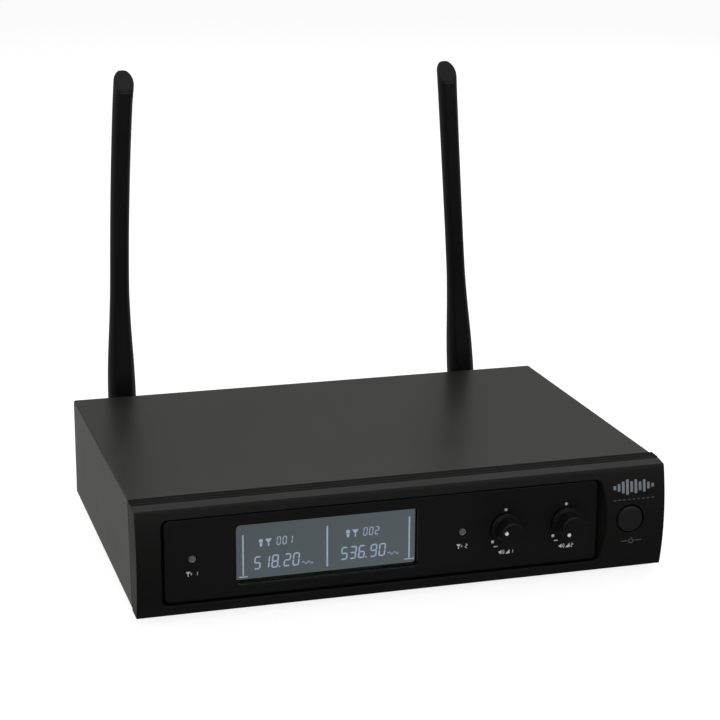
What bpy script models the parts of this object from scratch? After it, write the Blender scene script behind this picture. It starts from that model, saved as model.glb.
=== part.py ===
"""Half-rack dual-channel wireless receiver: steel case, moulded front frame,
inset control panel and two swivelling rod antennas.

Frame: +X to the right as seen from the front, +Y to the rear, +Z up.
The origin is the middle of the whole object's footprint, on the surface that
the feet stand on. Dimensions below are in millimetres and are measured from
the case: x from its middle, y from the lower front edge, z from its underside.
"""

import math

import bmesh
import bpy
from mathutils import Matrix, Vector

MM = 0.001

# ---------------------------------------------------------------- dimensions
CASE_W = 210.0          # half-rack width
CASE_D = 146.4          # lower front edge to rear panel
CASE_H = 41.8           # sheet metal case without feet
FOOT_H = 2.5            # how far the feet stand proud
SHEET = 1.0             # steel sheet
GAP = 0.3               # clearance between touching pieces

BEZEL_REAR_LOW = 9.5    # depth of the moulded front frame at the underside
BEZEL_REAR_TOP = 13.5   # and at the top
BULGE = 2.4             # bow of the front face
PANEL_X = (-94.2, 77.3)
PANEL_Z = (4.3, 36.5)
PANEL_Y = (0.9, 2.9)
WINDOW_X = (-67.0, 4.0)
WINDOW_Z = (8.6, 32.2)

CTRL_Z = 20.8           # height of both volume controls and both lamps
KNOB_A_X = 39.4
KNOB_B_X = 64.4
KNOB_FRONT = -8.3
KNOB_A_TURN = -70.0     # pointer, degrees clockwise from twelve o'clock
KNOB_B_TURN = -135.0
LED_A_X = -83.6
LED_B_X = 22.0
BUTTON_X = 90.4
BUTTON_Z = 20.4
BUTTON_R = 5.3

ANT_X = 80.4            # antenna connector, each side of the middle
ANT_Z = 22.0
ANT_PIVOT_Y = 169.0     # elbow pin
ANT_KNUCKLE_R = 6.2
ANT_TOP = 179.8
ANT_LEAN = {"a": 1.8, "b": -3.75}   # degrees, towards the middle
ANT_BOW = {"a": -1.6, "b": 0.0}     # slight set of the moulded whip
TIP_SLANT = 48.5        # slope of the cut tip, degrees, low at the front

XLR_X = {"a": -42.0, "b": -8.0}
XLR_Z = 21.2
JACK_X = 24.0
JACK_Z = 18.0
DC_X = 52.0
DC_Z = 16.0

FOOT_X = 84.0
FOOT_Y = (22.0, 128.0)
SCREW_X = 98.6
SCREW_Y = (32.0, 122.0)
BOARD_Z = (7.9, 9.5)
STANDOFF_X = 86.0
STANDOFF_Y = (30.0, 128.0)

REAR_MOST = ANT_PIVOT_Y + ANT_KNUCKLE_R
Y_MID = (REAR_MOST + KNOB_FRONT) / 2.0

# ------------------------------------------------------------------- set up
for ob in list(bpy.data.objects):
    bpy.data.objects.remove(ob, do_unlink=True)

scene = bpy.context.scene
parts = bpy.data.collections.new("wireless_receiver")
cutters = bpy.data.collections.new("cutters")
scene.collection.children.link(parts)
scene.collection.children.link(cutters)


def place(x, y, z):
    """Case coordinates in millimetres to world metres."""
    return Vector((x * MM, (y - Y_MID) * MM, (z + FOOT_H) * MM))


def material(name, colour, roughness, metallic=0.0, transmission=0.0):
    m = bpy.data.materials.new(name)
    m.use_nodes = True
    p = m.node_tree.nodes["Principled BSDF"]
    p.inputs["Base Color"].default_value = (*colour, 1.0)
    p.inputs["Roughness"].default_value = roughness
    p.inputs["Metallic"].default_value = metallic
    p.inputs["Transmission Weight"].default_value = transmission
    return m


def own_material(ob, spec):
    colour, roughness, metallic = spec
    ob.data.materials.clear()
    ob.data.materials.append(material(ob.name + "_mat", colour, roughness, metallic))


PAINT = ((0.040, 0.041, 0.038), 0.50, 0.0)
MOULD = ((0.012, 0.012, 0.011), 0.45, 0.0)
ACRYLIC = ((0.011, 0.012, 0.012), 0.25, 0.0)
GLASS = ((0.10, 0.12, 0.14), 0.10, 0.0)
GLOW = ((0.20, 0.24, 0.28), 0.50, 0.0)
BOARD = ((0.015, 0.090, 0.035), 0.45, 0.0)
TIN = ((0.55, 0.56, 0.55), 0.35, 1.0)
NICKEL = ((0.60, 0.59, 0.56), 0.25, 1.0)
BRASS = ((0.70, 0.52, 0.22), 0.30, 1.0)
ALU = ((0.62, 0.63, 0.64), 0.40, 1.0)
RUBBER = ((0.015, 0.015, 0.015), 0.85, 0.0)
WHITE = ((0.75, 0.76, 0.74), 0.45, 0.0)
LAMP = ((0.16, 0.17, 0.16), 0.30, 0.0)
ZINC = ((0.45, 0.45, 0.46), 0.35, 1.0)
BLACKENED = ((0.03, 0.03, 0.03), 0.35, 1.0)
SLEEVE = ((0.02, 0.03, 0.08), 0.40, 0.0)
CABLE = ((0.02, 0.02, 0.02), 0.55, 0.0)
RIBBON = ((0.30, 0.31, 0.32), 0.55, 0.0)
BAKELITE = ((0.03, 0.03, 0.04), 0.50, 0.0)


def adopt(ob, name, spec=None, cutter=False, parent=None):
    """Names an object, files it in its collection and gives it its finish."""
    ob.name = name
    ob.data.name = name
    for c in list(ob.users_collection):
        c.objects.unlink(ob)
    (cutters if cutter else parts).objects.link(ob)
    if cutter:
        ob.hide_render = True
        ob.display_type = "WIRE"
    if spec is not None:
        own_material(ob, spec)
    if parent is not None:
        ob.parent = parent
    return ob


def smooth(ob, degrees=35.0):
    ob.data.shade_smooth()
    ob.data.set_sharp_from_angle(angle=math.radians(degrees))
    return ob


def centre_of(box, local):
    c = [(box[i] + box[i + 1]) / 2.0 for i in (0, 2, 4)]
    return Vector(c) * MM if local else place(*c)


def box(name, x0, x1, y0, y1, z0, z1, spec=None, cutter=False, parent=None,
        bevel=0.0, segments=2, tilt=None):
    """A block between two corners, in case millimetres or, under a parent,
    in the parent's own millimetres."""
    local = parent is not None
    bpy.ops.mesh.primitive_cube_add(
        size=1.0, location=centre_of((x0, x1, y0, y1, z0, z1), local))
    ob = bpy.context.object
    ob.data.transform(Matrix.Diagonal(
        ((x1 - x0) * MM, (y1 - y0) * MM, (z1 - z0) * MM, 1.0)))
    if tilt is not None:
        ob.rotation_euler = tilt
    adopt(ob, name, spec, cutter, parent)
    if bevel > 0.0:
        b = ob.modifiers.new("edges", "BEVEL")
        b.width = bevel * MM
        b.segments = segments
        b.limit_method = "ANGLE"
    return ob


AXIS_TURN = {
    "z": (0.0, 0.0, 0.0),
    "-y": (math.pi / 2.0, 0.0, 0.0),    # local +Z looks to the front
    "y": (-math.pi / 2.0, 0.0, 0.0),    # local +Z looks to the rear
    "x": (0.0, math.pi / 2.0, 0.0),     # local +Z looks to the right
}


def rod(name, r, length, centre, axis, spec=None, cutter=False, parent=None,
        sides=24):
    """A plain cylinder about its centre."""
    at = Vector(centre) * MM if parent is not None else place(*centre)
    bpy.ops.mesh.primitive_cylinder_add(
        vertices=sides, radius=r * MM, depth=length * MM, location=at,
        rotation=AXIS_TURN[axis])
    ob = adopt(bpy.context.object, name, spec, cutter, parent)
    return smooth(ob)


def turned(name, profile, origin, axis, spec=None, cutter=False, parent=None,
           steps=32):
    """A turned piece. The profile is (radius, height) from the top of the
    axis down the outer side to the bottom of the axis."""
    mesh = bpy.data.meshes.new(name)
    bm = bmesh.new()
    last = None
    for r, h in profile:
        v = bm.verts.new((r * MM, 0.0, h * MM))
        if last is not None:
            bm.edges.new((last, v))
        last = v
    bm.to_mesh(mesh)
    bm.free()
    ob = bpy.data.objects.new(name, mesh)
    ob.location = Vector(origin) * MM if parent is not None else place(*origin)
    ob.rotation_euler = AXIS_TURN[axis]
    adopt(ob, name, spec, cutter, parent)
    s = ob.modifiers.new("turn", "SCREW")
    s.angle = 2.0 * math.pi
    s.steps = steps
    s.render_steps = steps
    s.use_merge_vertices = True
    s.merge_threshold = 0.00001
    s.use_smooth_shade = False
    return ob


def outline(name, points, plane, low, high, spec=None, cutter=False):
    """A flat outline, given in case millimetres, extruded between low and
    high along the axis that the plane leaves out."""
    curve = bpy.data.curves.new(name, "CURVE")
    curve.dimensions = "2D"
    curve.fill_mode = "BOTH"
    curve.extrude = (high - low) / 2.0 * MM
    sp = curve.splines.new("POLY")
    sp.points.add(len(points) - 1)
    for p, (u, v) in zip(sp.points, points):
        p.co = (u * MM, v * MM, 0.0, 1.0)
    sp.use_cyclic_u = True
    ob = bpy.data.objects.new(name, curve)
    mid = (low + high) / 2.0
    if plane == "YZ":      # local X, Y, Z become world Y, Z, X
        m = Matrix(((0, 0, 1, 0), (1, 0, 0, 0), (0, 1, 0, 0), (0, 0, 0, 1)))
        at = place(mid, 0.0, 0.0)
    elif plane == "XZ":    # local X, Y, Z become world X, Z, -Y
        m = Matrix(((1, 0, 0, 0), (0, 0, -1, 0), (0, 1, 0, 0), (0, 0, 0, 1)))
        at = place(0.0, mid, 0.0)
    else:                  # XY
        m = Matrix.Identity(4)
        at = place(0.0, 0.0, mid)
    ob.matrix_world = Matrix.Translation(at) @ m
    parts.objects.link(ob)
    return solidified(ob, name, spec, cutter)


def solidified(curve_ob, name, spec=None, cutter=False, parent=None):
    """Turns a filled or bevelled curve into one welded mesh object."""
    bpy.context.view_layer.update()
    deps = bpy.context.evaluated_depsgraph_get()
    mesh = bpy.data.meshes.new_from_object(curve_ob.evaluated_get(deps))
    bm = bmesh.new()
    bm.from_mesh(mesh)
    bmesh.ops.remove_doubles(bm, verts=bm.verts, dist=0.000001)
    bmesh.ops.recalc_face_normals(bm, faces=bm.faces)
    bm.to_mesh(mesh)
    bm.free()
    ob = bpy.data.objects.new(name, mesh)
    ob.matrix_world = curve_ob.matrix_world.copy()
    bpy.data.objects.remove(curve_ob, do_unlink=True)
    return adopt(ob, name, spec, cutter, parent)


def arc(cx, cy, r, start, end, steps):
    """Points on a circle between two angles in degrees, both included."""
    out = []
    for i in range(steps + 1):
        a = math.radians(start + (end - start) * i / steps)
        out.append((cx + r * math.cos(a), cy + r * math.sin(a)))
    return out


def round_rect(x0, x1, z0, z1, r, steps=4):
    return (arc(x1 - r, z1 - r, r, 0, 90, steps)
            + arc(x0 + r, z1 - r, r, 90, 180, steps)
            + arc(x0 + r, z0 + r, r, 180, 270, steps)
            + arc(x1 - r, z0 + r, r, 270, 360, steps))


def cut(ob, *tools):
    for t in tools:
        m = ob.modifiers.new("cut_" + t.name, "BOOLEAN")
        m.operation = "DIFFERENCE"
        m.solver = "EXACT"
        m.object = t
    return ob


def join(ob, *tools):
    for t in tools:
        m = ob.modifiers.new("join_" + t.name, "BOOLEAN")
        m.operation = "UNION"
        m.solver = "EXACT"
        m.object = t
    return ob


def empty(name, location, parent=None, lean=0.0):
    e = bpy.data.objects.new(name, None)
    e.empty_display_size = 0.01
    e.location = location
    e.rotation_euler = (0.0, math.radians(lean), 0.0)
    if parent is not None:
        e.parent = parent
    parts.objects.link(e)
    return e


def bezel_rear(z):
    """Rear edge of the moulded front frame at a height."""
    return BEZEL_REAR_LOW + (BEZEL_REAR_TOP - BEZEL_REAR_LOW) * z / CASE_H


HALF_W = CASE_W / 2.0

# ------------------------------------------------------------ moulded front
def front_profile():
    """Side outline of the front frame: bowed face, sloped brow and three
    saw-tooth ribs on the top."""
    pts = [(bezel_rear(-0.5), -0.5), (0.95, -0.5), (0.65, -0.2)]
    low, high, steps = 1.0, 40.2, 16
    for i in range(steps + 1):
        z = low + (high - low) * i / steps
        u = (z - 20.5) / 20.3
        pts.append((0.5 - BULGE * (1.0 - u * u), z))
    pts += [(0.60, 40.85), (0.95, 41.12), (5.6, 41.95), (5.9, 41.50),
            (6.3, 41.50), (6.7, 42.35), (8.75, 41.75), (9.1, 42.45),
            (11.3, 41.75), (11.65, 42.45), (13.3, 41.85),
            (bezel_rear(CASE_H), CASE_H)]
    return pts


bezel = outline("front_bezel", front_profile(), "YZ", -HALF_W, HALF_W, MOULD)
hollow = box("cut_bezel_hollow", -102.4, 102.4, 4.7, 20.0, 2.0, 39.6, cutter=True)
ledge = outline("cut_bezel_ledge", round_rect(-91.2, 74.3, 7.0, 34.0, 2.0),
                "XZ", 1.0, 6.0, cutter=True)

# The panel's recess has sloping ends and near-square long sides: a block
# whose open mouth is wider than its floor.
recess = outline("cut_bezel_recess",
                 round_rect(PANEL_X[0] - 0.5, PANEL_X[1] + 0.5,
                            PANEL_Z[0] - 0.5, PANEL_Z[1] + 0.5, 2.4),
                 "XZ", -3.0, PANEL_Y[1] + GAP, cutter=True)
RECESS_MID_X = sum(PANEL_X) / 2.0
RECESS_MID_Z = sum(PANEL_Z) / 2.0
RECESS_DEEP = place(0.0, PANEL_Y[1] + GAP, 0.0).y
for v in recess.data.vertices:
    w = recess.matrix_world @ v.co
    rise = (RECESS_DEEP - w.y) / MM      # millimetres in front of the floor
    reach = math.copysign(0.55 * rise, w.x / MM - RECESS_MID_X)
    lift = math.copysign(0.06 * rise, w.z / MM - FOOT_H - RECESS_MID_Z)
    v.co.x += reach * MM
    v.co.y += lift * MM
button_hole = rod("cut_button_hole", BUTTON_R + 0.5, 20.0,
                  (BUTTON_X, 0.0, BUTTON_Z), "y", cutter=True, sides=40)
cut(bezel, hollow, ledge, recess, button_hole)

# ------------------------------------------------------------- inset panel
panel = outline("display_panel", round_rect(*PANEL_X, *PANEL_Z, 2.0),
                "XZ", *PANEL_Y, spec=ACRYLIC)
window = outline("cut_window", round_rect(*WINDOW_X, *WINDOW_Z, 1.6), "XZ",
                 -2.0, 6.0, cutter=True)
led_hole_a = rod("cut_led_a", 1.8, 12.0, (LED_A_X, 2.0, CTRL_Z), "y", cutter=True)
led_hole_b = rod("cut_led_b", 1.8, 12.0, (LED_B_X, 2.0, CTRL_Z), "y", cutter=True)
shaft_hole_a = rod("cut_shaft_a", 3.6, 12.0, (KNOB_A_X, 2.0, CTRL_Z), "y", cutter=True)
shaft_hole_b = rod("cut_shaft_b", 3.6, 12.0, (KNOB_B_X, 2.0, CTRL_Z), "y", cutter=True)
cut(panel, window, led_hole_a, led_hole_b, shaft_hole_a, shaft_hole_b)

lcd = box("lcd_glass", -72.0, 9.0, 3.2, 5.0, 7.4, 33.6, GLASS)
backlight = box("lcd_backlight", -74.0, 11.0, 5.3, 9.0, 5.5, 35.0, GLOW, bevel=0.4)
front_board = box("front_board", -99.0, 99.0, 9.3, 10.9, 3.0, 38.4, BOARD)

# lamps: domed 3 mm lenses standing on the front board
for tag, x in (("a", LED_A_X), ("b", LED_B_X)):
    dome = [(0.0, 8.5)] + [(1.5 * math.sin(math.radians(a)),
                            7.6 + 0.9 * math.cos(math.radians(a)))
                           for a in (25, 50, 75, 90)] + [
        (1.5, 1.2), (1.5, 0.0), (0.0, 0.0)]
    led = turned("led_rf_" + tag, dome, (x, 9.0, CTRL_Z), "-y", LAMP, steps=20)

# --------------------------------------------------------- volume controls
knob_profile = [
    (0.0, 8.6), (4.35, 8.6), (4.75, 8.35), (4.85, 8.0), (5.05, 1.6),
    (5.9, 1.5), (6.2, 1.2), (6.2, 0.0), (3.3, 0.0), (3.3, 6.4), (0.0, 6.4)]
for tag, x, turn in (("a", KNOB_A_X, KNOB_A_TURN), ("b", KNOB_B_X, KNOB_B_TURN)):
    axis = empty("knob_" + tag + "_axis", place(x, 0.3, CTRL_Z), lean=turn)
    knob = turned("knob_" + tag, knob_profile, (0.0, 0.0, 0.0), "-y", MOULD,
                  parent=axis, steps=32)
    pocket = rod("cut_pointer_" + tag, 0.9, 1.6, (0.0, -8.6, 3.0), "y",
                 cutter=True, parent=axis, sides=16)
    cut(knob, pocket)
    rod("knob_pointer_" + tag, 0.78, 0.72, (0.0, -8.22, 3.0), "y", WHITE,
        parent=axis, sides=16)
    shaft = rod("pot_shaft_" + tag, 3.0, 13.6, (0.0, 0.9, 0.0), "y", ALU,
                parent=axis, sides=20)
    flat = box("cut_flat_" + tag, -4.0, 4.0, -6.5, -1.0, 1.9, 5.0,
               cutter=True, parent=axis)
    cut(shaft, flat)
    body = box("pot_body_" + tag, x - 5.2, x + 5.2, 4.0, 9.0,
               CTRL_Z - 7.0, CTRL_Z + 5.2, BAKELITE, bevel=0.4)
    bore = rod("cut_pot_" + tag, 3.3, 5.2, (x, 5.6, CTRL_Z), "y", cutter=True,
               sides=20)
    cut(body, bore)

# ------------------------------------------------------------ power button
button_axis = empty("power_button_axis", place(BUTTON_X, -2.3, BUTTON_Z))
button = turned(
    "power_button",
    [(0.0, 0.0), (3.6, 0.0), (4.75, -0.12), (5.15, -0.4), (BUTTON_R, -0.85),
     (BUTTON_R, -3.4), (0.0, -3.4)],
    (0.0, 0.0, 0.0), "-y", MOULD, parent=button_axis, steps=40)
plunger = rod("switch_plunger", 1.6, 3.2, (0.0, 5.3, 0.0), "y", WHITE,
              parent=button_axis, sides=16)
switch = box("power_switch_body", BUTTON_X - 4.2, BUTTON_X + 4.2, 3.9 + 0.9, 9.0,
             BUTTON_Z - 4.2, BUTTON_Z + 4.2, BAKELITE, bevel=0.3)
cut(switch, rod("cut_switch", 1.9, 4.0, (BUTTON_X, 5.2 + 1.0, BUTTON_Z), "y",
                cutter=True, sides=16))

# ------------------------------------------------------------- steel cover
def cover_profile():
    """Section of the folded cover: top, sides and the turned-in lips."""
    o, i = 0.8, 0.3
    w, h, t, lip = HALF_W, CASE_H, SHEET, 94.5
    outer = (arc(w - o, h - o, o, 0, 90, 4) + arc(-w + o, h - o, o, 90, 180, 4)
             + arc(-w + o, o, o, 180, 270, 4) + [(-lip, 0.0), (-lip, t)])
    inner = (arc(-w + t + i, t + i, i, 270, 180, 2)
             + arc(-w + t + i, h - t - i, i, 180, 90, 2)
             + arc(w - t - i, h - t - i, i, 90, 0, 2)
             + arc(w - t - i, t + i, i, 360, 270, 2))
    return outer + inner + [(lip, t), (lip, 0.0)] + arc(w - o, o, o, 270, 359, 4)


cover = outline("top_cover", cover_profile(), "XZ", 5.0, CASE_D, PAINT)
nose = outline("cut_cover_nose",
               [(0.0, -5.0), (bezel_rear(-5.0) + 0.35, -5.0),
                (bezel_rear(50.0) + 0.35, 50.0), (0.0, 50.0)],
               "YZ", -HALF_W - 5.0, HALF_W + 5.0, cutter=True)
cut(cover, nose)

# -------------------------------------------------------------- steel tray
TRAY_Z = SHEET + GAP
REAR_IN = CASE_D - SHEET


def tray_profile():
    """Section of the folded tray: front flange, floor and rear panel."""
    z0, z1 = TRAY_Z, TRAY_Z + SHEET
    f0, f1 = 12.0, 13.0
    return [(f0, z0), (CASE_D, z0), (CASE_D, CASE_H - SHEET - GAP),
            (REAR_IN, CASE_H - SHEET - GAP), (REAR_IN, z1 + 0.4),
            (REAR_IN - 0.4, z1), (f1 + 0.4, z1), (f1, z1 + 0.4), (f1, 14.0),
            (f0, 14.0)]


tray = outline("bottom_tray", tray_profile(), "YZ", -103.6, 103.6, PAINT)

tray_tools = []
for tag, sx in (("a", -1), ("b", 1)):
    tray_tools.append(rod("cut_rear_ant_" + tag, 4.5, 6.0,
                          (sx * ANT_X, REAR_IN, ANT_Z), "y", cutter=True))
    tray_tools.append(rod("cut_rear_xlr_" + tag, 11.4, 6.0,
                          (XLR_X[tag], REAR_IN, XLR_Z), "y", cutter=True, sides=36))
tray_tools.append(rod("cut_rear_jack", 4.9, 6.0, (JACK_X, REAR_IN, JACK_Z), "y",
                      cutter=True))
tray_tools.append(box("cut_rear_dc", DC_X - 4.9, DC_X + 4.9, REAR_IN - 3, CASE_D + 3,
                      DC_Z - 5.9, DC_Z + 5.9, cutter=True))
for k, (sx, y) in enumerate([(-1, SCREW_Y[0]), (1, SCREW_Y[0]),
                             (-1, SCREW_Y[1]), (1, SCREW_Y[1])], 1):
    hole = rod("cut_screw_%d" % k, 1.8, 8.0, (sx * SCREW_X, y, 1.0), "z",
               cutter=True, sides=16)
    tray_tools.append(hole)
    cut(cover, hole)
cut(tray, *tray_tools)

# --------------------------------------------------------- feet and screws
names = ["front_left", "front_right", "rear_left", "rear_right"]
corners = [(-1, 0), (1, 0), (-1, 1), (1, 1)]
for name, (sx, j) in zip(names, corners):
    turned("foot_" + name,
           [(0.0, FOOT_H + 1.0), (6.4, FOOT_H + 1.0), (6.4, 0.9), (6.1, 0.3),
            (5.6, 0.0), (0.0, 0.0)],
           (sx * FOOT_X, FOOT_Y[j], -FOOT_H), "z", RUBBER, steps=24)
    turned("cover_screw_" + name,
           [(0.0, 6.6), (1.1, 6.6), (1.45, 6.1), (1.45, 1.5), (2.8, 1.5),
            (2.8, 0.8), (2.2, 0.2), (1.2, 0.0), (0.0, 0.0)],
           (sx * SCREW_X, SCREW_Y[j], -1.8), "z", BLACKENED, steps=16)
    rod("board_standoff_" + name, 2.6, BOARD_Z[0] - TRAY_Z - SHEET - 2 * GAP,
        (sx * STANDOFF_X, STANDOFF_Y[j],
         (BOARD_Z[0] + TRAY_Z + SHEET) / 2.0), "z", BRASS, sides=6)

# ------------------------------------------------------------- electronics
main_board = box("main_board", -97.0, 97.0, 20.0, 142.0, *BOARD_Z, BOARD)
for tag, x0, x1 in (("a", -92.0, -52.0), ("b", 52.0, 92.0)):
    box("tuner_shield_" + tag, x0, x1, 52.0, 112.0, 9.8, 24.0, TIN, bevel=0.5)
capacitor = turned("filter_capacitor",
                   [(0.0, 20.0), (5.6, 20.0), (6.0, 19.5), (6.0, 0.5),
                    (5.6, 0.0), (0.0, 0.0)],
                   (30.0, 78.0, 9.8), "z", SLEEVE, steps=24)
sink = box("regulator_heatsink", -26.0, -6.0, 66.0, 80.0, 9.8, 29.0, ALU)
cut(sink, *[box("cut_fin_%d" % k, -23.6 + 4.0 * k, -21.0 + 4.0 * k, 69.0, 82.0,
                5.0, 32.0, cutter=True) for k in range(4)])
chip = box("processor_chip", -4.0, 16.0, 30.0, 44.0, 9.8, 11.8, BAKELITE, bevel=0.2)

# flat cable from the main board up to the front board
def ribbon_profile():
    path = [(11.2, 24.0), (13.6, 24.0), (15.2, 22.8), (15.9, 20.5),
            (16.4, 17.0), (17.6, 14.2), (20.0, 12.6), (24.0, 12.1),
            (25.4, 11.4), (25.8, 9.8)]
    t = 0.45
    left, right = [], []
    for k, (y, z) in enumerate(path):
        a = path[max(k - 1, 0)]
        b = path[min(k + 1, len(path) - 1)]
        d = Vector((b[0] - a[0], b[1] - a[1])).normalized()
        left.append((y - d.y * t, z + d.x * t))
        right.append((y + d.y * t, z - d.x * t))
    return left + right[::-1]


ribbon = outline("ribbon_cable", ribbon_profile(), "YZ", -52.0, -32.0, RIBBON)

# ------------------------------------------------------- output connectors
for tag in ("a", "b"):
    x = XLR_X[tag]
    shell = outline("xlr_shell_" + tag,
                    round_rect(x - 13.0, x + 13.0, XLR_Z - 15.5, XLR_Z + 15.5, 2.5),
                    "XZ", CASE_D + GAP, CASE_D + 2.3, NICKEL)
    barrel = rod("join_xlr_" + tag, 11.0, 22.0, (x, CASE_D - 9.2, XLR_Z), "y",
                 cutter=True, sides=36)
    join(shell, barrel)
    mouth = rod("cut_xlr_" + tag, 9.4, 30.0, (x, CASE_D + 0.8, XLR_Z), "y",
                cutter=True, sides=36)
    cut(shell, mouth)
    insert = turned("xlr_insert_" + tag,
                    [(0.0, 4.0), (9.1, 4.0), (9.1, 0.0), (0.0, 0.0)],
                    (x, CASE_D - 13.9, XLR_Z), "y", BAKELITE, steps=36)
    for k, deg in enumerate((150.0, 30.0, 270.0), 1):
        px = x + 4.75 * math.cos(math.radians(deg))
        pz = XLR_Z + 4.75 * math.sin(math.radians(deg))
        join(insert, rod("join_pin_%s%d" % (tag, k), 1.2, 12.5,
                         (px, CASE_D - 5.5, pz), "y", cutter=True, sides=12))

jack = box("jack_socket", JACK_X - 8.0, JACK_X + 8.0, 120.0, REAR_IN - GAP,
           9.8, 26.2, BAKELITE, bevel=0.4)
join(jack, rod("join_jack_bush", 4.5, 12.0, (JACK_X, CASE_D - 2.8, JACK_Z), "y",
               cutter=True))
cut(jack, rod("cut_jack_bore", 3.3, 24.0, (JACK_X, CASE_D - 6.0, JACK_Z), "y",
              cutter=True))
nut = rod("jack_nut", 6.6, 2.2, (JACK_X, CASE_D + 1.4, JACK_Z), "y", NICKEL, sides=6)
cut(nut, rod("cut_jack_nut", 4.8, 6.0, (JACK_X, CASE_D + 1.4, JACK_Z), "y",
             cutter=True))

dc = box("dc_inlet", DC_X - 4.6, DC_X + 4.6, 132.0, CASE_D + 0.9,
         DC_Z - 5.6, DC_Z + 5.6, BAKELITE, bevel=0.3)
ring = rod("cut_dc_ring", 2.9, 12.0, (DC_X, CASE_D - 3.0, DC_Z), "y", cutter=True)
ring_core = rod("cut_dc_core", 1.0, 30.0, (DC_X, CASE_D - 3.0, DC_Z), "y",
                cutter=True, sides=12)
cut(ring, ring_core)
cut(dc, ring)

# ---------------------------------------------------------------- antennas
def whip_rings(bow):
    """Height above the elbow, width, depth and sideways set of the whip."""
    rows = [(0.0, 12.4, 12.4), (8.0, 12.4, 12.2), (15.0, 12.4, 12.0),
            (22.0, 12.1, 11.8), (30.0, 11.5, 11.2), (38.0, 10.6, 10.3),
            (46.0, 9.7, 9.5), (54.0, 9.0, 8.9), (62.0, 8.5, 8.5),
            (80.0, 8.3, 8.3), (105.0, 8.35, 8.3), (130.0, 8.5, 8.4),
            (ANT_TOP - ANT_Z, 8.8, 8.6)]
    top = rows[-1][0]
    out = []
    for h, w, d in rows:
        t = max(0.0, (h - 8.0) / (top - 8.0))
        out.append((h, w / 2.0, d / 2.0, bow * 4.0 * t * (1.0 - t)))
    return out


def section(w, d, sides=24):
    """Round back, flat front: a circle pressed flat towards the front."""
    flat = -0.88
    pts = []
    for k in range(sides):
        a = 2.0 * math.pi * (k + 0.5) / sides
        x, y = math.cos(a), math.sin(a)
        pts.append((x * w, max(y, flat) * d))
    return pts


def whip(name, parent, bow):
    rings = whip_rings(bow)
    mesh = bpy.data.meshes.new(name)
    bm = bmesh.new()
    sides = 24
    ring = bmesh.ops.create_circle(bm, cap_ends=True, segments=sides,
                                   radius=0.001)["verts"]
    ring = sorted(ring, key=lambda v: math.atan2(v.co.y, v.co.x) % (2 * math.pi))

    def shape(verts, row):
        h, w, d, shift = row
        for v, (x, y) in zip(verts, section(w, d, sides)):
            v.co = ((x + shift) * MM, y * MM, h * MM)

    shape(ring, rings[0])
    face = bm.faces[:][0]
    for row in rings[1:]:
        ext = bmesh.ops.extrude_face_region(bm, geom=[face])
        moved = [g for g in ext["geom"] if isinstance(g, bmesh.types.BMVert)]
        top = [g for g in ext["geom"] if isinstance(g, bmesh.types.BMFace)][0]
        cx = sum(v.co.x for v in moved) / len(moved)
        moved.sort(key=lambda v: math.atan2(v.co.y, v.co.x - cx) % (2 * math.pi))
        shape(moved, row)
        if face.is_valid and row is not rings[1]:
            bmesh.ops.delete(bm, geom=[face], context="FACES_ONLY")
        face = top
    bmesh.ops.recalc_face_normals(bm, faces=bm.faces)
    bm.to_mesh(mesh)
    bm.free()
    ob = bpy.data.objects.new(name, mesh)
    adopt(ob, name, MOULD, parent=parent)
    return smooth(ob)


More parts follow.
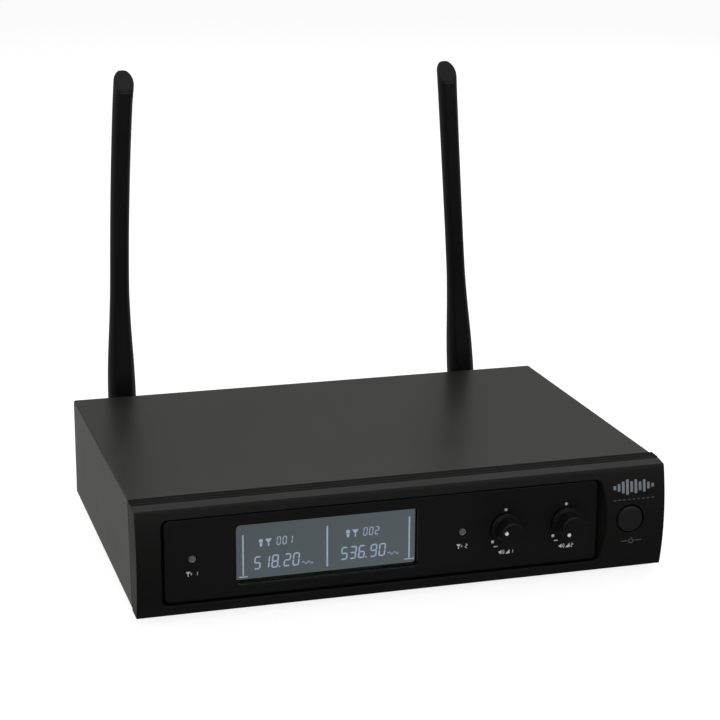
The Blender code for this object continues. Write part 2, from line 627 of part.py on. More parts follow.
for tag, sx in (("a", -1), ("b", 1)):
    x = sx * ANT_X
    jack_body = turned(
        "antenna_connector_" + tag,
        [(0.0, 20.0), (3.6, 20.0), (4.0, 19.5), (4.0, 6.1), (6.0, 6.1), (6.0, 3.6),
         (3.0, 3.6), (3.0, 0.0), (0.0, 0.0)],
        (x, REAR_IN - GAP - 6.1, ANT_Z), "y", NICKEL, steps=24)
    hexnut = rod("antenna_nut_" + tag, 6.8, 1.9, (x, CASE_D + 1.25, ANT_Z), "y",
                 NICKEL, sides=6)
    cut(hexnut, rod("cut_antenna_nut_" + tag, 4.4, 6.0, (x, CASE_D + 1.25, ANT_Z),
                    "y", cutter=True))

    swivel = empty("antenna_%s_swivel_axis" % tag, place(x, CASE_D, ANT_Z),
                   lean=ANT_LEAN[tag])
    reach = ANT_PIVOT_Y - CASE_D
    collar = turned(
        "antenna_collar_" + tag,
        [(0.0, 14.8), (5.4, 14.8), (6.0, 14.2), (6.0, 12.2), (6.8, 11.6),
         (6.8, 3.4), (6.4, 3.0), (4.5, 3.0), (4.5, 13.6), (0.0, 13.6)],
        (0.0, 0.0, 0.0), "y", BLACKENED, parent=swivel, steps=32)
    tongue = box("join_tongue_" + tag, -2.7, 2.7, 14.0, reach, -5.2, 5.2,
                 cutter=True, parent=swivel)
    tip = rod("join_tongue_end_" + tag, 5.2, 5.4, (0.0, reach, 0.0), "x",
              cutter=True, parent=swivel)
    join(collar, tongue, tip)
    cut(collar, rod("cut_tongue_pin_" + tag, 1.9, 20.0, (0.0, reach, 0.0), "x",
                    cutter=True, parent=swivel, sides=16))

    elbow = empty("antenna_%s_elbow_axis" % tag, (0.0, reach * MM, 0.0),
                  parent=swivel)
    blade = whip("antenna_whip_" + tag, elbow, ANT_BOW[tag])
    knuckle = rod("join_knuckle_" + tag, ANT_KNUCKLE_R, 12.4, (0.0, 0.0, 0.0), "x",
                  cutter=True, parent=elbow, sides=32)
    slot = box("cut_fork_" + tag, -3.0, 3.0, -12.0, 12.0, -12.0, 7.2,
               cutter=True, parent=elbow)
    bore = rod("cut_fork_pin_" + tag, 1.8, 20.0, (0.0, 0.0, 0.0), "x",
               cutter=True, parent=elbow, sides=16)
    top = (ANT_TOP - ANT_Z)
    shear = box("cut_tip_" + tag, -12.0, 12.0, -24.0, 24.0, 0.0, 20.0,
                cutter=True, parent=elbow)
    shear.location = Vector((0.0, 3.9, top)) * MM
    shear.rotation_euler = (math.radians(TIP_SLANT), 0.0, 0.0)
    shear.data.transform(Matrix.Translation((0.0, 0.0, 10.0 * MM)))
    join(blade, knuckle)
    cut(blade, slot, bore, shear)
    rod("antenna_pin_" + tag, 1.5, 12.0, (0.0, 0.0, 0.0), "x", ZINC,
        parent=elbow, sides=16)

# ------------------------------------------------- coaxial leads inside
def smooth_path(keys, count):
    """Catmull-Rom points through the route's own points."""
    pts = [Vector(k) for k in keys]
    pts = [pts[0] * 2 - pts[1]] + pts + [pts[-1] * 2 - pts[-2]]
    out = []
    spans = len(pts) - 3
    for n in range(count):
        s = n / (count - 1) * spans
        i = min(int(s), spans - 1)
        t = s - i
        p0, p1, p2, p3 = pts[i:i + 4]
        out.append(0.5 * ((2 * p1) + (p2 - p0) * t
                          + (2 * p0 - 5 * p1 + 4 * p2 - p3) * t * t
                          + (3 * p1 - p0 - 3 * p2 + p3) * t * t * t))
    return out


for tag, sx in (("a", -1), ("b", 1)):
    y_end = REAR_IN - GAP - 6.1 - GAP
    keys = [(sx * ANT_X, y_end, ANT_Z), (sx * ANT_X, y_end - 8.0, ANT_Z),
            (sx * (ANT_X - 2.0), y_end - 16.0, ANT_Z - 3.0),
            (sx * (ANT_X - 5.0), 116.0, ANT_Z - 5.0),
            (sx * (ANT_X - 5.0), 112.6, ANT_Z - 5.0)]
    curve = bpy.data.curves.new("coax_" + tag, "CURVE")
    curve.dimensions = "3D"
    curve.bevel_depth = 1.3 * MM
    curve.bevel_resolution = 2
    curve.use_fill_caps = True
    route = smooth_path(keys, 14)
    sp = curve.splines.new("POLY")
    sp.points.add(len(route) - 1)
    for p, q in zip(sp.points, route):
        w = place(*q)
        p.co = (*w, 1.0)
    ob = bpy.data.objects.new("coax_" + tag, curve)
    parts.objects.link(ob)
    lead = solidified(ob, "coax_" + tag, CABLE)
    smooth(lead)

bpy.context.view_layer.update()
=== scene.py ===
"""Wireless receiver unit: the looks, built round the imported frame.

Shapes are worked out in millimetres in the case's own frame (x from the
middle, y from the lower front edge, z from the underside) and are written to
the shared frame in metres.
"""

import math

import bmesh
import bpy
from mathutils import Matrix, Vector


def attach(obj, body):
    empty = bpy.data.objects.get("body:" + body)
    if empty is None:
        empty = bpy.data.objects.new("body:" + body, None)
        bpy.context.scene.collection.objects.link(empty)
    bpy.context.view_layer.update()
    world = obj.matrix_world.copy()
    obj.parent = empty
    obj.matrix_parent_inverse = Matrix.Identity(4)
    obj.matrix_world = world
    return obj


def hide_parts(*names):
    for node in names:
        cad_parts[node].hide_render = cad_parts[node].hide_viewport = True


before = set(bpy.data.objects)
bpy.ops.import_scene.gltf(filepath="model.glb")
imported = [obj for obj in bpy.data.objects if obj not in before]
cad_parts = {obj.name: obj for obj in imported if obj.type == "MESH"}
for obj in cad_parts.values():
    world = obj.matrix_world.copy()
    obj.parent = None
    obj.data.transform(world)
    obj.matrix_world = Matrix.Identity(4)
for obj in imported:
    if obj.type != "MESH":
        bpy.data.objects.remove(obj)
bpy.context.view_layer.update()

MM = 0.001
FOOT_H = 2.5
Y_MID = 83.45
CASE_W, CASE_D, CASE_H = 210.0, 146.4, 41.8
HALF_W = CASE_W / 2.0
SHEET, GAP = 1.0, 0.3
BULGE = 2.4
PANEL_X, PANEL_Z, PANEL_Y = (-94.2, 77.3), (4.3, 36.5), (0.9, 2.9)
WINDOW_X, WINDOW_Z = (-67.0, 4.0), (8.6, 32.2)
CTRL_Z = 20.8
KNOB_X = {"a": 39.4, "b": 64.4}
KNOB_TURN = {"a": -70.0, "b": -135.0}
LED_X = {"a": -83.6, "b": 22.0}
BUTTON_X, BUTTON_Z, BUTTON_R = 90.4, 20.4, 5.3
ANT_X, ANT_Z, ANT_PIVOT_Y, ANT_TOP = 80.4, 22.0, 169.0, 179.8
ANT_LEAN = {"a": 1.8, "b": -3.75}
ANT_BOW = {"a": -1.6, "b": 0.0}
TIP_SLANT = 48.5
XLR_X, XLR_Z = {"a": -42.0, "b": -8.0}, 21.2
JACK_X, JACK_Z, DC_X, DC_Z = 24.0, 18.0, 52.0, 16.0
FOOT_X, FOOT_Y = 84.0, (22.0, 128.0)
SCREW_X, SCREW_Y = 98.6, (32.0, 122.0)
REAR_IN = CASE_D - SHEET
REACH = ANT_PIVOT_Y - CASE_D

TO_WORLD = (Matrix.Translation((0.0, -Y_MID * MM, FOOT_H * MM))
            @ Matrix.Diagonal((MM, MM, MM, 1.0)))
CASE, KNOBS, BUTTON = "receiver_case", "volume_knob_", "power_button"
SIDES = (("a", -1), ("b", 1))


# =================================================================== camera
def make_camera():
    az, el, roll = math.radians(16.57), math.radians(15.45), math.radians(0.28)
    fwd = Vector((math.sin(az) * math.cos(el), math.cos(az) * math.cos(el), -math.sin(el)))
    right = fwd.cross(Vector((0, 0, 1))).normalized()
    up = right.cross(fwd)
    r2 = math.cos(roll) * right + math.sin(roll) * up
    u2 = -math.sin(roll) * right + math.cos(roll) * up
    cam = bpy.data.objects.new("camera", bpy.data.cameras.new("camera"))
    bpy.context.scene.collection.objects.link(cam)
    m = Matrix((r2, u2, -fwd)).transposed().to_4x4()
    m.translation = Vector((-0.2178, -0.74895, 0.2870))
    cam.matrix_world = m
    cam.data.lens = 98.04
    cam.data.sensor_width = 36.0
    cam.data.clip_start, cam.data.clip_end = 0.02, 30.0
    bpy.context.scene.camera = cam


make_camera()


# ============================================================ outline tools
def arc(cx, cy, r, start, end, steps):
    out = []
    for i in range(steps + 1):
        a = math.radians(start + (end - start) * i / steps)
        out.append((cx + r * math.cos(a), cy + r * math.sin(a)))
    return out


def round_rect(x0, x1, z0, z1, r, steps=8):
    r = max(r, 0.02)
    return (arc(x1 - r, z1 - r, r, 0, 90, steps) + arc(x0 + r, z1 - r, r, 90, 180, steps)
            + arc(x0 + r, z0 + r, r, 180, 270, steps) + arc(x1 - r, z0 + r, r, 270, 360, steps))


def circle(cx, cy, r, steps=64):
    return arc(cx, cy, r, 0.0, 360.0 * (steps - 1) / steps, steps - 1)


def fillet(points, radius, steps=4, closed=True):
    """Rounds the corners of a polyline."""
    n, out = len(points), []
    for i, p in enumerate(points):
        r = radius[i] if isinstance(radius, (list, tuple)) else radius
        b = Vector(p)
        if r <= 0.0 or (not closed and i in (0, n - 1)):
            out.append((b.x, b.y))
            continue
        u, v = Vector(points[i - 1]) - b, Vector(points[(i + 1) % n]) - b
        lu, lv = u.length, v.length
        u.normalize()
        v.normalize()
        ang = math.acos(max(-1.0, min(1.0, u.dot(v))))
        if ang > math.pi - 0.03:
            out.append((b.x, b.y))
            continue
        t = min(r / math.tan(ang / 2.0), 0.45 * lu, 0.45 * lv)
        rr = t * math.tan(ang / 2.0)
        c = b + (u + v).normalized() * (rr / math.sin(ang / 2.0))
        s, e = b + u * t - c, b + v * t - c
        a0 = math.atan2(s.y, s.x)
        d = (math.atan2(e.y, e.x) - a0 + math.pi) % (2.0 * math.pi) - math.pi
        for k in range(steps + 1):
            q = a0 + d * k / steps
            out.append((c.x + rr * math.cos(q), c.y + rr * math.sin(q)))
    return out


def area2(points):
    return sum(a[0] * b[1] - b[0] * a[1] for a, b in zip(points, points[1:] + points[:1]))


def inset(points, d):
    """Moves a closed outline inwards (positive) by about d."""
    n = len(points)
    turn = 1.0 if area2(points) > 0 else -1.0
    out = []
    for i in range(n):
        a, b, c = Vector(points[i - 1]), Vector(points[i]), Vector(points[(i + 1) % n])
        u, v = (b - a), (c - b)
        if u.length < 1e-7:
            u = v
        if v.length < 1e-7:
            v = u
        u, v = u.normalized(), v.normalized()
        nu, nv = Vector((-u.y, u.x)) * turn, Vector((-v.y, v.x)) * turn
        m = nu + nv
        if m.length < 1e-6:
            m = nu
        m.normalize()
        k = min(1.6, 1.0 / max(0.35, m.dot(nu)))
        out.append((b.x + m.x * d * k, b.y + m.y * d * k))
    return out


# =============================================================== mesh tools
def loft(rings, cap=(True, True), close=False):
    """Closed skin over rings of points; a ring of one point is a pole."""
    bm = bmesh.new()
    rows = [[bm.verts.new(p) for p in ring] for ring in rings]
    pairs = list(zip(rows, rows[1:]))
    if close:
        pairs.append((rows[-1], rows[0]))
    for a, b in pairs:
        n = max(len(a), len(b))
        for i in range(n):
            j = (i + 1) % n
            if len(a) == 1:
                quad = (a[0], b[j], b[i])
            elif len(b) == 1:
                quad = (a[i], a[j], b[0])
            else:
                quad = (a[i], a[j], b[j], b[i])
            bm.faces.new(quad)
    if not close:
        if cap[0] and len(rows[0]) > 2:
            bm.faces.new(rows[0][::-1])
        if cap[1] and len(rows[-1]) > 2:
            bm.faces.new(rows[-1])
    bmesh.ops.recalc_face_normals(bm, faces=bm.faces)
    if bm.calc_volume(signed=True) < 0.0:
        bmesh.ops.reverse_faces(bm, faces=bm.faces)
    return bm


def lathe(profile, steps=64, ripple=None):
    """Turned solid about local Z; a profile off the axis at both ends is a ring."""
    rings = []
    for r, h in profile:
        if r < 1e-6:
            rings.append([(0.0, 0.0, h)])
        else:
            ring = []
            for k in range(steps):
                a = 2.0 * math.pi * k / steps
                q = r + (ripple(r, h, a) if ripple else 0.0)
                ring.append((q * math.cos(a), q * math.sin(a), h))
            rings.append(ring)
    hollow = profile[0][0] > 1e-6 and profile[-1][0] > 1e-6
    return loft(rings, close=hollow)


def slab(fn, low, high, put, edge=(0.0, 0.0), steps=3):
    """Outline fn(inset) extruded from low to high, with rounded rims."""
    rings = []

    def ring(d, w):
        rings.append([put(u, v, w) for u, v in fn(d)])

    e0, e1 = edge
    if e0 > 0.0:
        for k in range(steps + 1):
            a = math.pi / 2.0 * k / steps
            ring(e0 * (1.0 - math.sin(a)), low + e0 * (1.0 - math.cos(a)))
    else:
        ring(0.0, low)
    if e1 > 0.0:
        for k in range(steps, -1, -1):
            a = math.pi / 2.0 * k / steps
            ring(e1 * (1.0 - math.sin(a)), high - e1 * (1.0 - math.cos(a)))
    else:
        ring(0.0, high)
    return loft(rings)


def xz(u, v, w):
    return (u, w, v)


def yz(u, v, w):
    return (w, u, v)


def xy(u, v, w):
    return (u, v, w)


def merged(*bms):
    """Several closed skins as one mesh."""
    bm = bmesh.new()
    for b in bms:
        me = bpy.data.meshes.new("tmp")
        b.to_mesh(me)
        b.free()
        bm.from_mesh(me)
        bpy.data.meshes.remove(me)
    return bm


def moved(bm, m):
    bmesh.ops.transform(bm, matrix=m, verts=bm.verts)
    return bm


def raw(name, bm, local=None):
    if name == "t":              # cutting tools are all flat triangles
        bmesh.ops.triangulate(bm, faces=bm.faces)
    me = bpy.data.meshes.new(name)
    bm.to_mesh(me)
    bm.free()
    if local is not None:
        me.transform(local)
    ob = bpy.data.objects.new(name, me)
    bpy.context.scene.collection.objects.link(ob)
    return ob


def booleans(ob, tools, op="DIFFERENCE"):
    """Cuts (or joins) with each tool, applies it and removes the tools."""
    for t in tools:
        m = ob.modifiers.new("b", "BOOLEAN")
        m.operation, m.solver, m.object = op, "EXACT", t
    baked(ob)
    for t in tools:
        me = t.data
        bpy.data.objects.remove(t, do_unlink=True)
        bpy.data.meshes.remove(me)
    return ob


def baked(ob):
    bpy.context.view_layer.update()
    deps = bpy.context.evaluated_depsgraph_get()
    me = bpy.data.meshes.new_from_object(ob.evaluated_get(deps))
    old = ob.data
    ob.modifiers.clear()
    ob.data = me
    bpy.data.meshes.remove(old)
    return ob


def bevelled(ob, width, angle=40.0, segments=2):
    b = ob.modifiers.new("edges", "BEVEL")
    b.width = width
    b.segments = segments
    b.limit_method = "ANGLE"
    b.angle_limit = math.radians(angle)
    b.use_clamp_overlap = True
    return baked(ob)


def done(ob, body, mats, replaces=(), sharp=38.0, local=None):
    """Into the shared frame, smooth shaded, on its body."""
    me = ob.data
    me.name = ob.name
    me.transform(TO_WORLD @ local if local is not None else TO_WORLD)
    if not isinstance(mats, (list, tuple)):
        mats = [mats]
    me.materials.clear()
    for m in mats:
        me.materials.append(m)
    me.shade_smooth()
    me.set_sharp_from_angle(angle=math.radians(sharp))
    w = ob.modifiers.new("normals", "WEIGHTED_NORMAL")
    w.mode = "FACE_AREA"
    w.keep_sharp = True
    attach(ob, body)
    if replaces:
        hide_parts(*([replaces] if isinstance(replaces, str) else replaces))
    return ob


def spot(x, y, z, rx=0.0, ry=0.0):
    return (Matrix.Translation((x, y, z)) @ Matrix.Rotation(ry, 4, "Y")
            @ Matrix.Rotation(rx, 4, "X"))


FRONTWARD = math.pi / 2.0        # local +Z looks to the front
REARWARD = -math.pi / 2.0        # local +Z looks to the rear


# ================================================================ materials
class Nodes:
    def __init__(self, name):
        self.m = bpy.data.materials.new(name)
        self.m.use_nodes = True
        self.t = self.m.node_tree
        self.t.nodes.clear()
        self.out = self.t.nodes.new("ShaderNodeOutputMaterial")
        self.p = self.t.nodes.new("ShaderNodeBsdfPrincipled")
        self.link(self.p.outputs["BSDF"], self.out.inputs["Surface"])
        self.tc = self.t.nodes.new("ShaderNodeTexCoord")

    def link(self, a, b):
        self.t.links.new(a, b)

    def coords(self, scale=(1.0, 1.0, 1.0), turn=(0.0, 0.0, 0.0)):
        if scale == (1.0, 1.0, 1.0) and turn == (0.0, 0.0, 0.0):
            return self.tc.outputs["Object"]
        mp = self.t.nodes.new("ShaderNodeMapping")
        mp.inputs["Scale"].default_value = scale
        mp.inputs["Rotation"].default_value = turn
        self.link(self.tc.outputs["Object"], mp.inputs["Vector"])
        return mp.outputs["Vector"]

    def noise(self, scale, detail=3.0, rough=0.5, stretch=(1.0, 1.0, 1.0), turn=(0.0, 0.0, 0.0)):
        n = self.t.nodes.new("ShaderNodeTexNoise")
        n.inputs["Scale"].default_value = scale
        n.inputs["Detail"].default_value = detail
        n.inputs["Roughness"].default_value = rough
        self.link(self.coords(stretch, turn), n.inputs["Vector"])
        return n.outputs["Fac"]

    def spots(self, scale, stretch=(1.0, 1.0, 1.0)):
        n = self.t.nodes.new("ShaderNodeTexVoronoi")
        n.inputs["Scale"].default_value = scale
        self.link(self.coords(stretch), n.inputs["Vector"])
        return n.outputs["Distance"]

    def span(self, fac, lo, hi, out_lo, out_hi):
        r = self.t.nodes.new("ShaderNodeMapRange")
        r.inputs["From Min"].default_value = lo
        r.inputs["From Max"].default_value = hi
        r.inputs["To Min"].default_value = out_lo
        r.inputs["To Max"].default_value = out_hi
        self.link(fac, r.inputs["Value"])
        return r.outputs["Result"]

    def maths(self, op, a, b):
        n = self.t.nodes.new("ShaderNodeMath")
        n.operation = op
        for k, v in enumerate((a, b)):
            if isinstance(v, (int, float)):
                n.inputs[k].default_value = v
            else:
                self.link(v, n.inputs[k])
        return n.outputs["Value"]

    def mix(self, fac, a, b):
        n = self.t.nodes.new("ShaderNodeMix")
        n.data_type = "RGBA"
        self.link(fac, n.inputs["Factor"])
        for key, v in (("A", a), ("B", b)):
            sock = [s for s in n.inputs if s.name == key and s.type == "RGBA"][0]
            if isinstance(v, tuple):
                sock.default_value = (*v, 1.0)
            else:
                self.link(v, sock)
        return [s for s in n.outputs if s.type == "RGBA"][0]

    def bump(self, height, strength, distance, under=None):
        b = self.t.nodes.new("ShaderNodeBump")
        b.inputs["Strength"].default_value = strength
        b.inputs["Distance"].default_value = distance
        self.link(height, b.inputs["Height"])
        if under is not None:
            self.link(under, b.inputs["Normal"])
        return b.outputs["Normal"]

    def set(self, **kw):
        for k, v in kw.items():
            s = self.p.inputs[k.replace("_", " ")]
            if isinstance(v, tuple):
                s.default_value = (*v, 1.0) if len(v) == 3 and s.type == "RGBA" else v
            elif isinstance(v, (int, float)):
                s.default_value = v
            else:
                self.link(v, s)
        return self


def tint(c, k):
    return tuple(max(0.0, min(1.0, x * k)) for x in c)


def plastic(name, colour, rough=0.45, grain=0.00035, relief=0.00004, strength=0.35,
            tone=0.16, spread=0.08, spec=0.5, dust=0.0):
    """Moulded plastic with a spark-eroded grain and slight uneven gloss."""
    n = Nodes(name)
    fine = n.noise(1.0 / grain, 2.0, 0.6)
    broad = n.noise(38.0, 3.0, 0.55)
    mix = n.maths("ADD", n.maths("MULTIPLY", fine, 0.45), n.maths("MULTIPLY", broad, 0.55))
    col = n.mix(n.span(mix, 0.32, 0.68, 0.0, 1.0), tint(colour, 1.0 - tone), tint(colour, 1.0 + tone))
    if dust > 0.0:
        fleck = n.span(n.noise(2600.0, 1.0, 0.4), 0.70, 0.78, 0.0, dust)
        col = n.mix(fleck, col, tint(colour, 4.0))
    n.set(Base_Color=col, Roughness=n.span(mix, 0.3, 0.7, rough - spread, rough + spread),
          Specular_IOR_Level=spec, Normal=n.bump(fine, strength, relief))
    return n.m


def metal(name, colour, rough=0.28, stretch=(1.0, 1.0, 1.0), scale=900.0, tone=0.10,
          spread=0.10, relief=0.000012, strength=0.25, stain=0.0):
    """Plated or brushed metal: fine lines along one way and cloudy polish."""
    n = Nodes(name)
    lines = n.noise(scale, 3.0, 0.6, stretch)
    cloud = n.noise(90.0, 4.0, 0.6)
    col = n.mix(n.span(cloud, 0.3, 0.7, 0.0, 1.0), tint(colour, 1.0 - tone), tint(colour, 1.0 + tone))
    if stain > 0.0:
        col = n.mix(n.span(n.noise(240.0, 4.0, 0.65), 0.56, 0.72, 0.0, stain), col, tint(colour, 0.45))
    n.set(Base_Color=col, Metallic=1.0,
          Roughness=n.span(n.maths("ADD", n.maths("MULTIPLY", lines, 0.5), n.maths("MULTIPLY", cloud, 0.5)),
                           0.3, 0.7, max(0.05, rough - spread), rough + spread),
          Normal=n.bump(lines, strength, relief))
    return n.m


def painted(name, colour):
    """Stoved black paint on steel sheet: a fine orange peel with a sand grain
    and faint cloudiness of gloss."""
    n = Nodes(name)
    sand = n.noise(1.0 / 0.00042, 2.0, 0.55)
    peel = n.noise(1.0 / 0.0021, 2.0, 0.5)
    cloud = n.noise(21.0, 4.0, 0.6)
    speck = n.span(n.noise(3100.0, 1.0, 0.4), 0.64, 0.74, 0.0, 0.5)
    col = n.mix(n.span(cloud, 0.3, 0.7, 0.0, 1.0), tint(colour, 0.90), tint(colour, 1.10))
    col = n.mix(speck, col, tint(colour, 1.9))
    gloss = n.maths("ADD", n.maths("MULTIPLY", cloud, 0.6), n.maths("MULTIPLY", sand, 0.4))
    n.set(Base_Color=col, Roughness=n.span(gloss, 0.3, 0.7, 0.28, 0.36),
          Specular_IOR_Level=0.42,
          Normal=n.bump(peel, 0.10, 0.00003, n.bump(sand, 0.30, 0.00002)))
    return n.m


def glass(name):
    n = Nodes(name)
    smear = n.noise(55.0, 3.0, 0.6)
    n.set(Base_Color=(0.93, 0.96, 0.96), Roughness=n.span(smear, 0.35, 0.7, 0.02, 0.05),
          IOR=1.46, Transmission_Weight=1.0, Specular_IOR_Level=0.35)
    return n.m


def lit(name, low, high, strength):
    """The display's lit face: grey-blue, a little brighter to the right."""
    n = Nodes(name)
    sep = n.t.nodes.new("ShaderNodeSeparateXYZ")
    n.link(n.coords(), sep.inputs["Vector"])
    across = n.span(sep.outputs["X"], -0.072, 0.010, 0.0, 1.0)
    down = n.span(sep.outputs["Z"], 0.010, 0.036, 0.25, 0.0)
    both = n.maths("ADD", n.maths("MULTIPLY", across, 0.75), down)
    cells = n.noise(5200.0, 1.0, 0.4)
    fac = n.maths("ADD", both, n.maths("MULTIPLY", n.maths("SUBTRACT", cells, 0.5), 0.25))
    col = n.mix(fac, low, high)
    n.set(Base_Color=(0.02, 0.022, 0.024), Roughness=0.5, Emission_Color=col,
          Emission_Strength=strength)
    return n.m


def glow(name, colour, strength):
    n = Nodes(name)
    edge = n.noise(2400.0, 2.0, 0.5)
    n.set(Base_Color=tint(colour, 0.3), Roughness=0.4,
          Emission_Color=n.mix(n.span(edge, 0.3, 0.7, 0.0, 1.0), tint(colour, 0.88), tint(colour, 1.08)),
          Emission_Strength=strength)
    return n.m


def lens(name, colour):
    """Milky lamp lens, a little darker in the middle where the cup shows through, and lighter towards its rim as it
    turns edge-on to the view: a painted sheen.
    """
    n = Nodes(name)
    lw = n.t.nodes.new("ShaderNodeLayerWeight")
    lw.inputs["Blend"].default_value = 0.35
    cloud = n.noise(1500.0, 2.0, 0.5)
    # painted sheen: the colour is mixed from darker where the lens faces the view to lighter where it turns edge-on
    col = n.mix(n.span(lw.outputs["Facing"], 0.0, 0.8, 0.0, 1.0), tint(colour, 0.86), tint(colour, 1.25))
    n.set(Base_Color=col, Roughness=n.span(cloud, 0.3, 0.7, 0.25, 0.38), Subsurface_Weight=0.15,
          Specular_IOR_Level=0.5, Normal=n.bump(cloud, 0.1, 0.00001))
    n.p.inputs["Subsurface Radius"].default_value = (0.0006, 0.0006, 0.0005)
    return n.m


def board(name):
    """Green circuit board: solder mask over tracks, with bright pads."""
    n = Nodes(name)
    br = n.t.nodes.new("ShaderNodeTexBrick")
    br.inputs["Scale"].default_value = 260.0
    br.inputs["Mortar Size"].default_value = 0.03
    n.link(n.coords((1.0, 0.4, 1.0)), br.inputs["Vector"])
    pads = n.span(n.spots(380.0), 0.10, 0.16, 1.0, 0.0)
    col = n.mix(br.outputs["Fac"], (0.012, 0.075, 0.030), (0.020, 0.120, 0.045))
    col = n.mix(pads, col, (0.55, 0.50, 0.38))
    n.set(Base_Color=col, Roughness=n.span(pads, 0.0, 1.0, 0.42, 0.25),
          Normal=n.bump(br.outputs["Fac"], 0.3, 0.00003))
    return n.m


BLACK = (0.0062, 0.0064, 0.0058)
M = {
    "paint": painted("case_paint", (0.0120, 0.0128, 0.0112)),
    "mould": plastic("frame_plastic", BLACK, 0.46, 0.00045, 0.00003, 0.30, 0.14, 0.06, 0.28),
    "knob": plastic("knob_plastic", (0.0060, 0.0064, 0.0060), 0.40, 0.0003, 0.00002, 0.25, 0.14, 0.06, 0.35),
    "button": plastic("button_plastic", (0.0105, 0.0112, 0.0110), 0.42, 0.0003, 0.00002, 0.25, 0.12, 0.06, 0.40),
    "acrylic": plastic("panel_acrylic", (0.0068, 0.0074, 0.0070), 0.38, 0.0006, 0.00001, 0.20, 0.10, 0.05, 0.30),
    "border": plastic("border_grey", (0.026, 0.028, 0.030), 0.50, 0.0004, 0.00001, 0.2, 0.10, 0.05, 0.3),
    "antenna": plastic("antenna_plastic", (0.0042, 0.0045, 0.0046), 0.38, 0.0005, 0.00003, 0.30, 0.16, 0.07, 0.34),
    "rubber": plastic("foot_rubber", (0.012, 0.012, 0.012), 0.82, 0.0004, 0.00006, 0.5, 0.2, 0.06, 0.3, 0.3),
    "white": plastic("pointer_white", (0.78, 0.79, 0.77), 0.42, 0.0003, 0.00001, 0.2, 0.04, 0.05, 0.4),
    "print": plastic("print_white", (0.50, 0.52, 0.52), 0.55, 0.0002, 0.00001, 0.2, 0.10, 0.05, 0.2),
    "print_grey": plastic("print_grey", (0.20, 0.225, 0.25), 0.55, 0.0002, 0.00001, 0.2, 0.10, 0.05, 0.2),
    "print_dim": plastic("print_dim", (0.085, 0.090, 0.092), 0.55, 0.0002, 0.00001, 0.2, 0.10, 0.05, 0.2),
    "insulator": plastic("insulator", (0.020, 0.020, 0.022), 0.50, 0.0004, 0.00003, 0.3, 0.15, 0.07, 0.5),
    "sleeve": plastic("capacitor_sleeve", (0.018, 0.026, 0.075), 0.32, 0.0008, 0.00001, 0.2, 0.12, 0.06, 0.5),
    "cable": plastic("cable_jacket", (0.018, 0.018, 0.018), 0.50, 0.0005, 0.00003, 0.3, 0.15, 0.06, 0.5),
    "ribbon": plastic("ribbon_jacket", (0.30, 0.31, 0.32), 0.50, 0.0005, 0.00003, 0.3, 0.08, 0.06, 0.5),
    "board": board("circuit_board"),
    "tin": metal("tinplate", (0.62, 0.62, 0.60), 0.30, (1.0, 8.0, 1.0), 700.0, stain=0.25),
    "alu": metal("bare_aluminium", (0.66, 0.67, 0.68), 0.34, (1.0, 1.0, 12.0), 600.0),
    "nickel": metal("nickel_plate", (0.60, 0.585, 0.555), 0.24, (6.0, 1.0, 1.0), 500.0, stain=0.12),
    "black_metal": metal("black_metal", (0.060, 0.060, 0.062), 0.34, (1.0, 5.0, 1.0), 700.0, 0.2, 0.08, stain=0.3),
    "zinc": metal("zinc_steel", (0.56, 0.57, 0.58), 0.30, (5.0, 1.0, 1.0), 700.0, stain=0.2),
    "brass": metal("brass", (0.72, 0.53, 0.24), 0.28, (1.0, 1.0, 6.0), 700.0, stain=0.2),
    "gold": metal("contact_gold", (0.86, 0.66, 0.32), 0.22, (1.0, 8.0, 1.0), 700.0, stain=0.08),
    "glass": glass("display_glass"),
    "lit": lit("display_backlight", (0.080, 0.092, 0.098), (0.092, 0.108, 0.119), 1.0),
    "digits": glow("display_digits", (0.33, 0.40, 0.53), 1.0),
    "lens": lens("lamp_lens", (0.118, 0.130, 0.126)),
}


# ======================================================== moulded front frame
def bezel_rear(z):
    return 9.5 + (13.5 - 9.5) * z / CASE_H


def front_y(z):
    """Depth of the bowed face at a height."""
    u = (z - 20.5) / 20.3
    return 0.5 - BULGE * (1.0 - u * u)


def front_outline():
    pts = [(bezel_rear(-0.5), -0.5), (0.95, -0.5), (0.65, -0.2)]
    rad = [0.15, 0.15, 0.15]
    low, high, steps = 1.0, 40.2, 30
    for i in range(steps + 1):
        z = low + (high - low) * i / steps
        pts.append((front_y(z), z))
        rad.append(0.0)
    pts += [(0.60, 40.85), (0.95, 41.12), (5.6, 41.95), (5.9, 41.50), (6.3, 41.50),
            (6.7, 42.35), (8.75, 41.75), (9.1, 42.45), (11.3, 41.75), (11.65, 42.45),
            (13.3, 41.85), (bezel_rear(CASE_H), CASE_H)]
    rad += [0.12, 0.25, 0.18, 0.08, 0.08, 0.14, 0.08, 0.14, 0.08, 0.14, 0.05, 0.05]
    return fillet(pts, rad, 3)


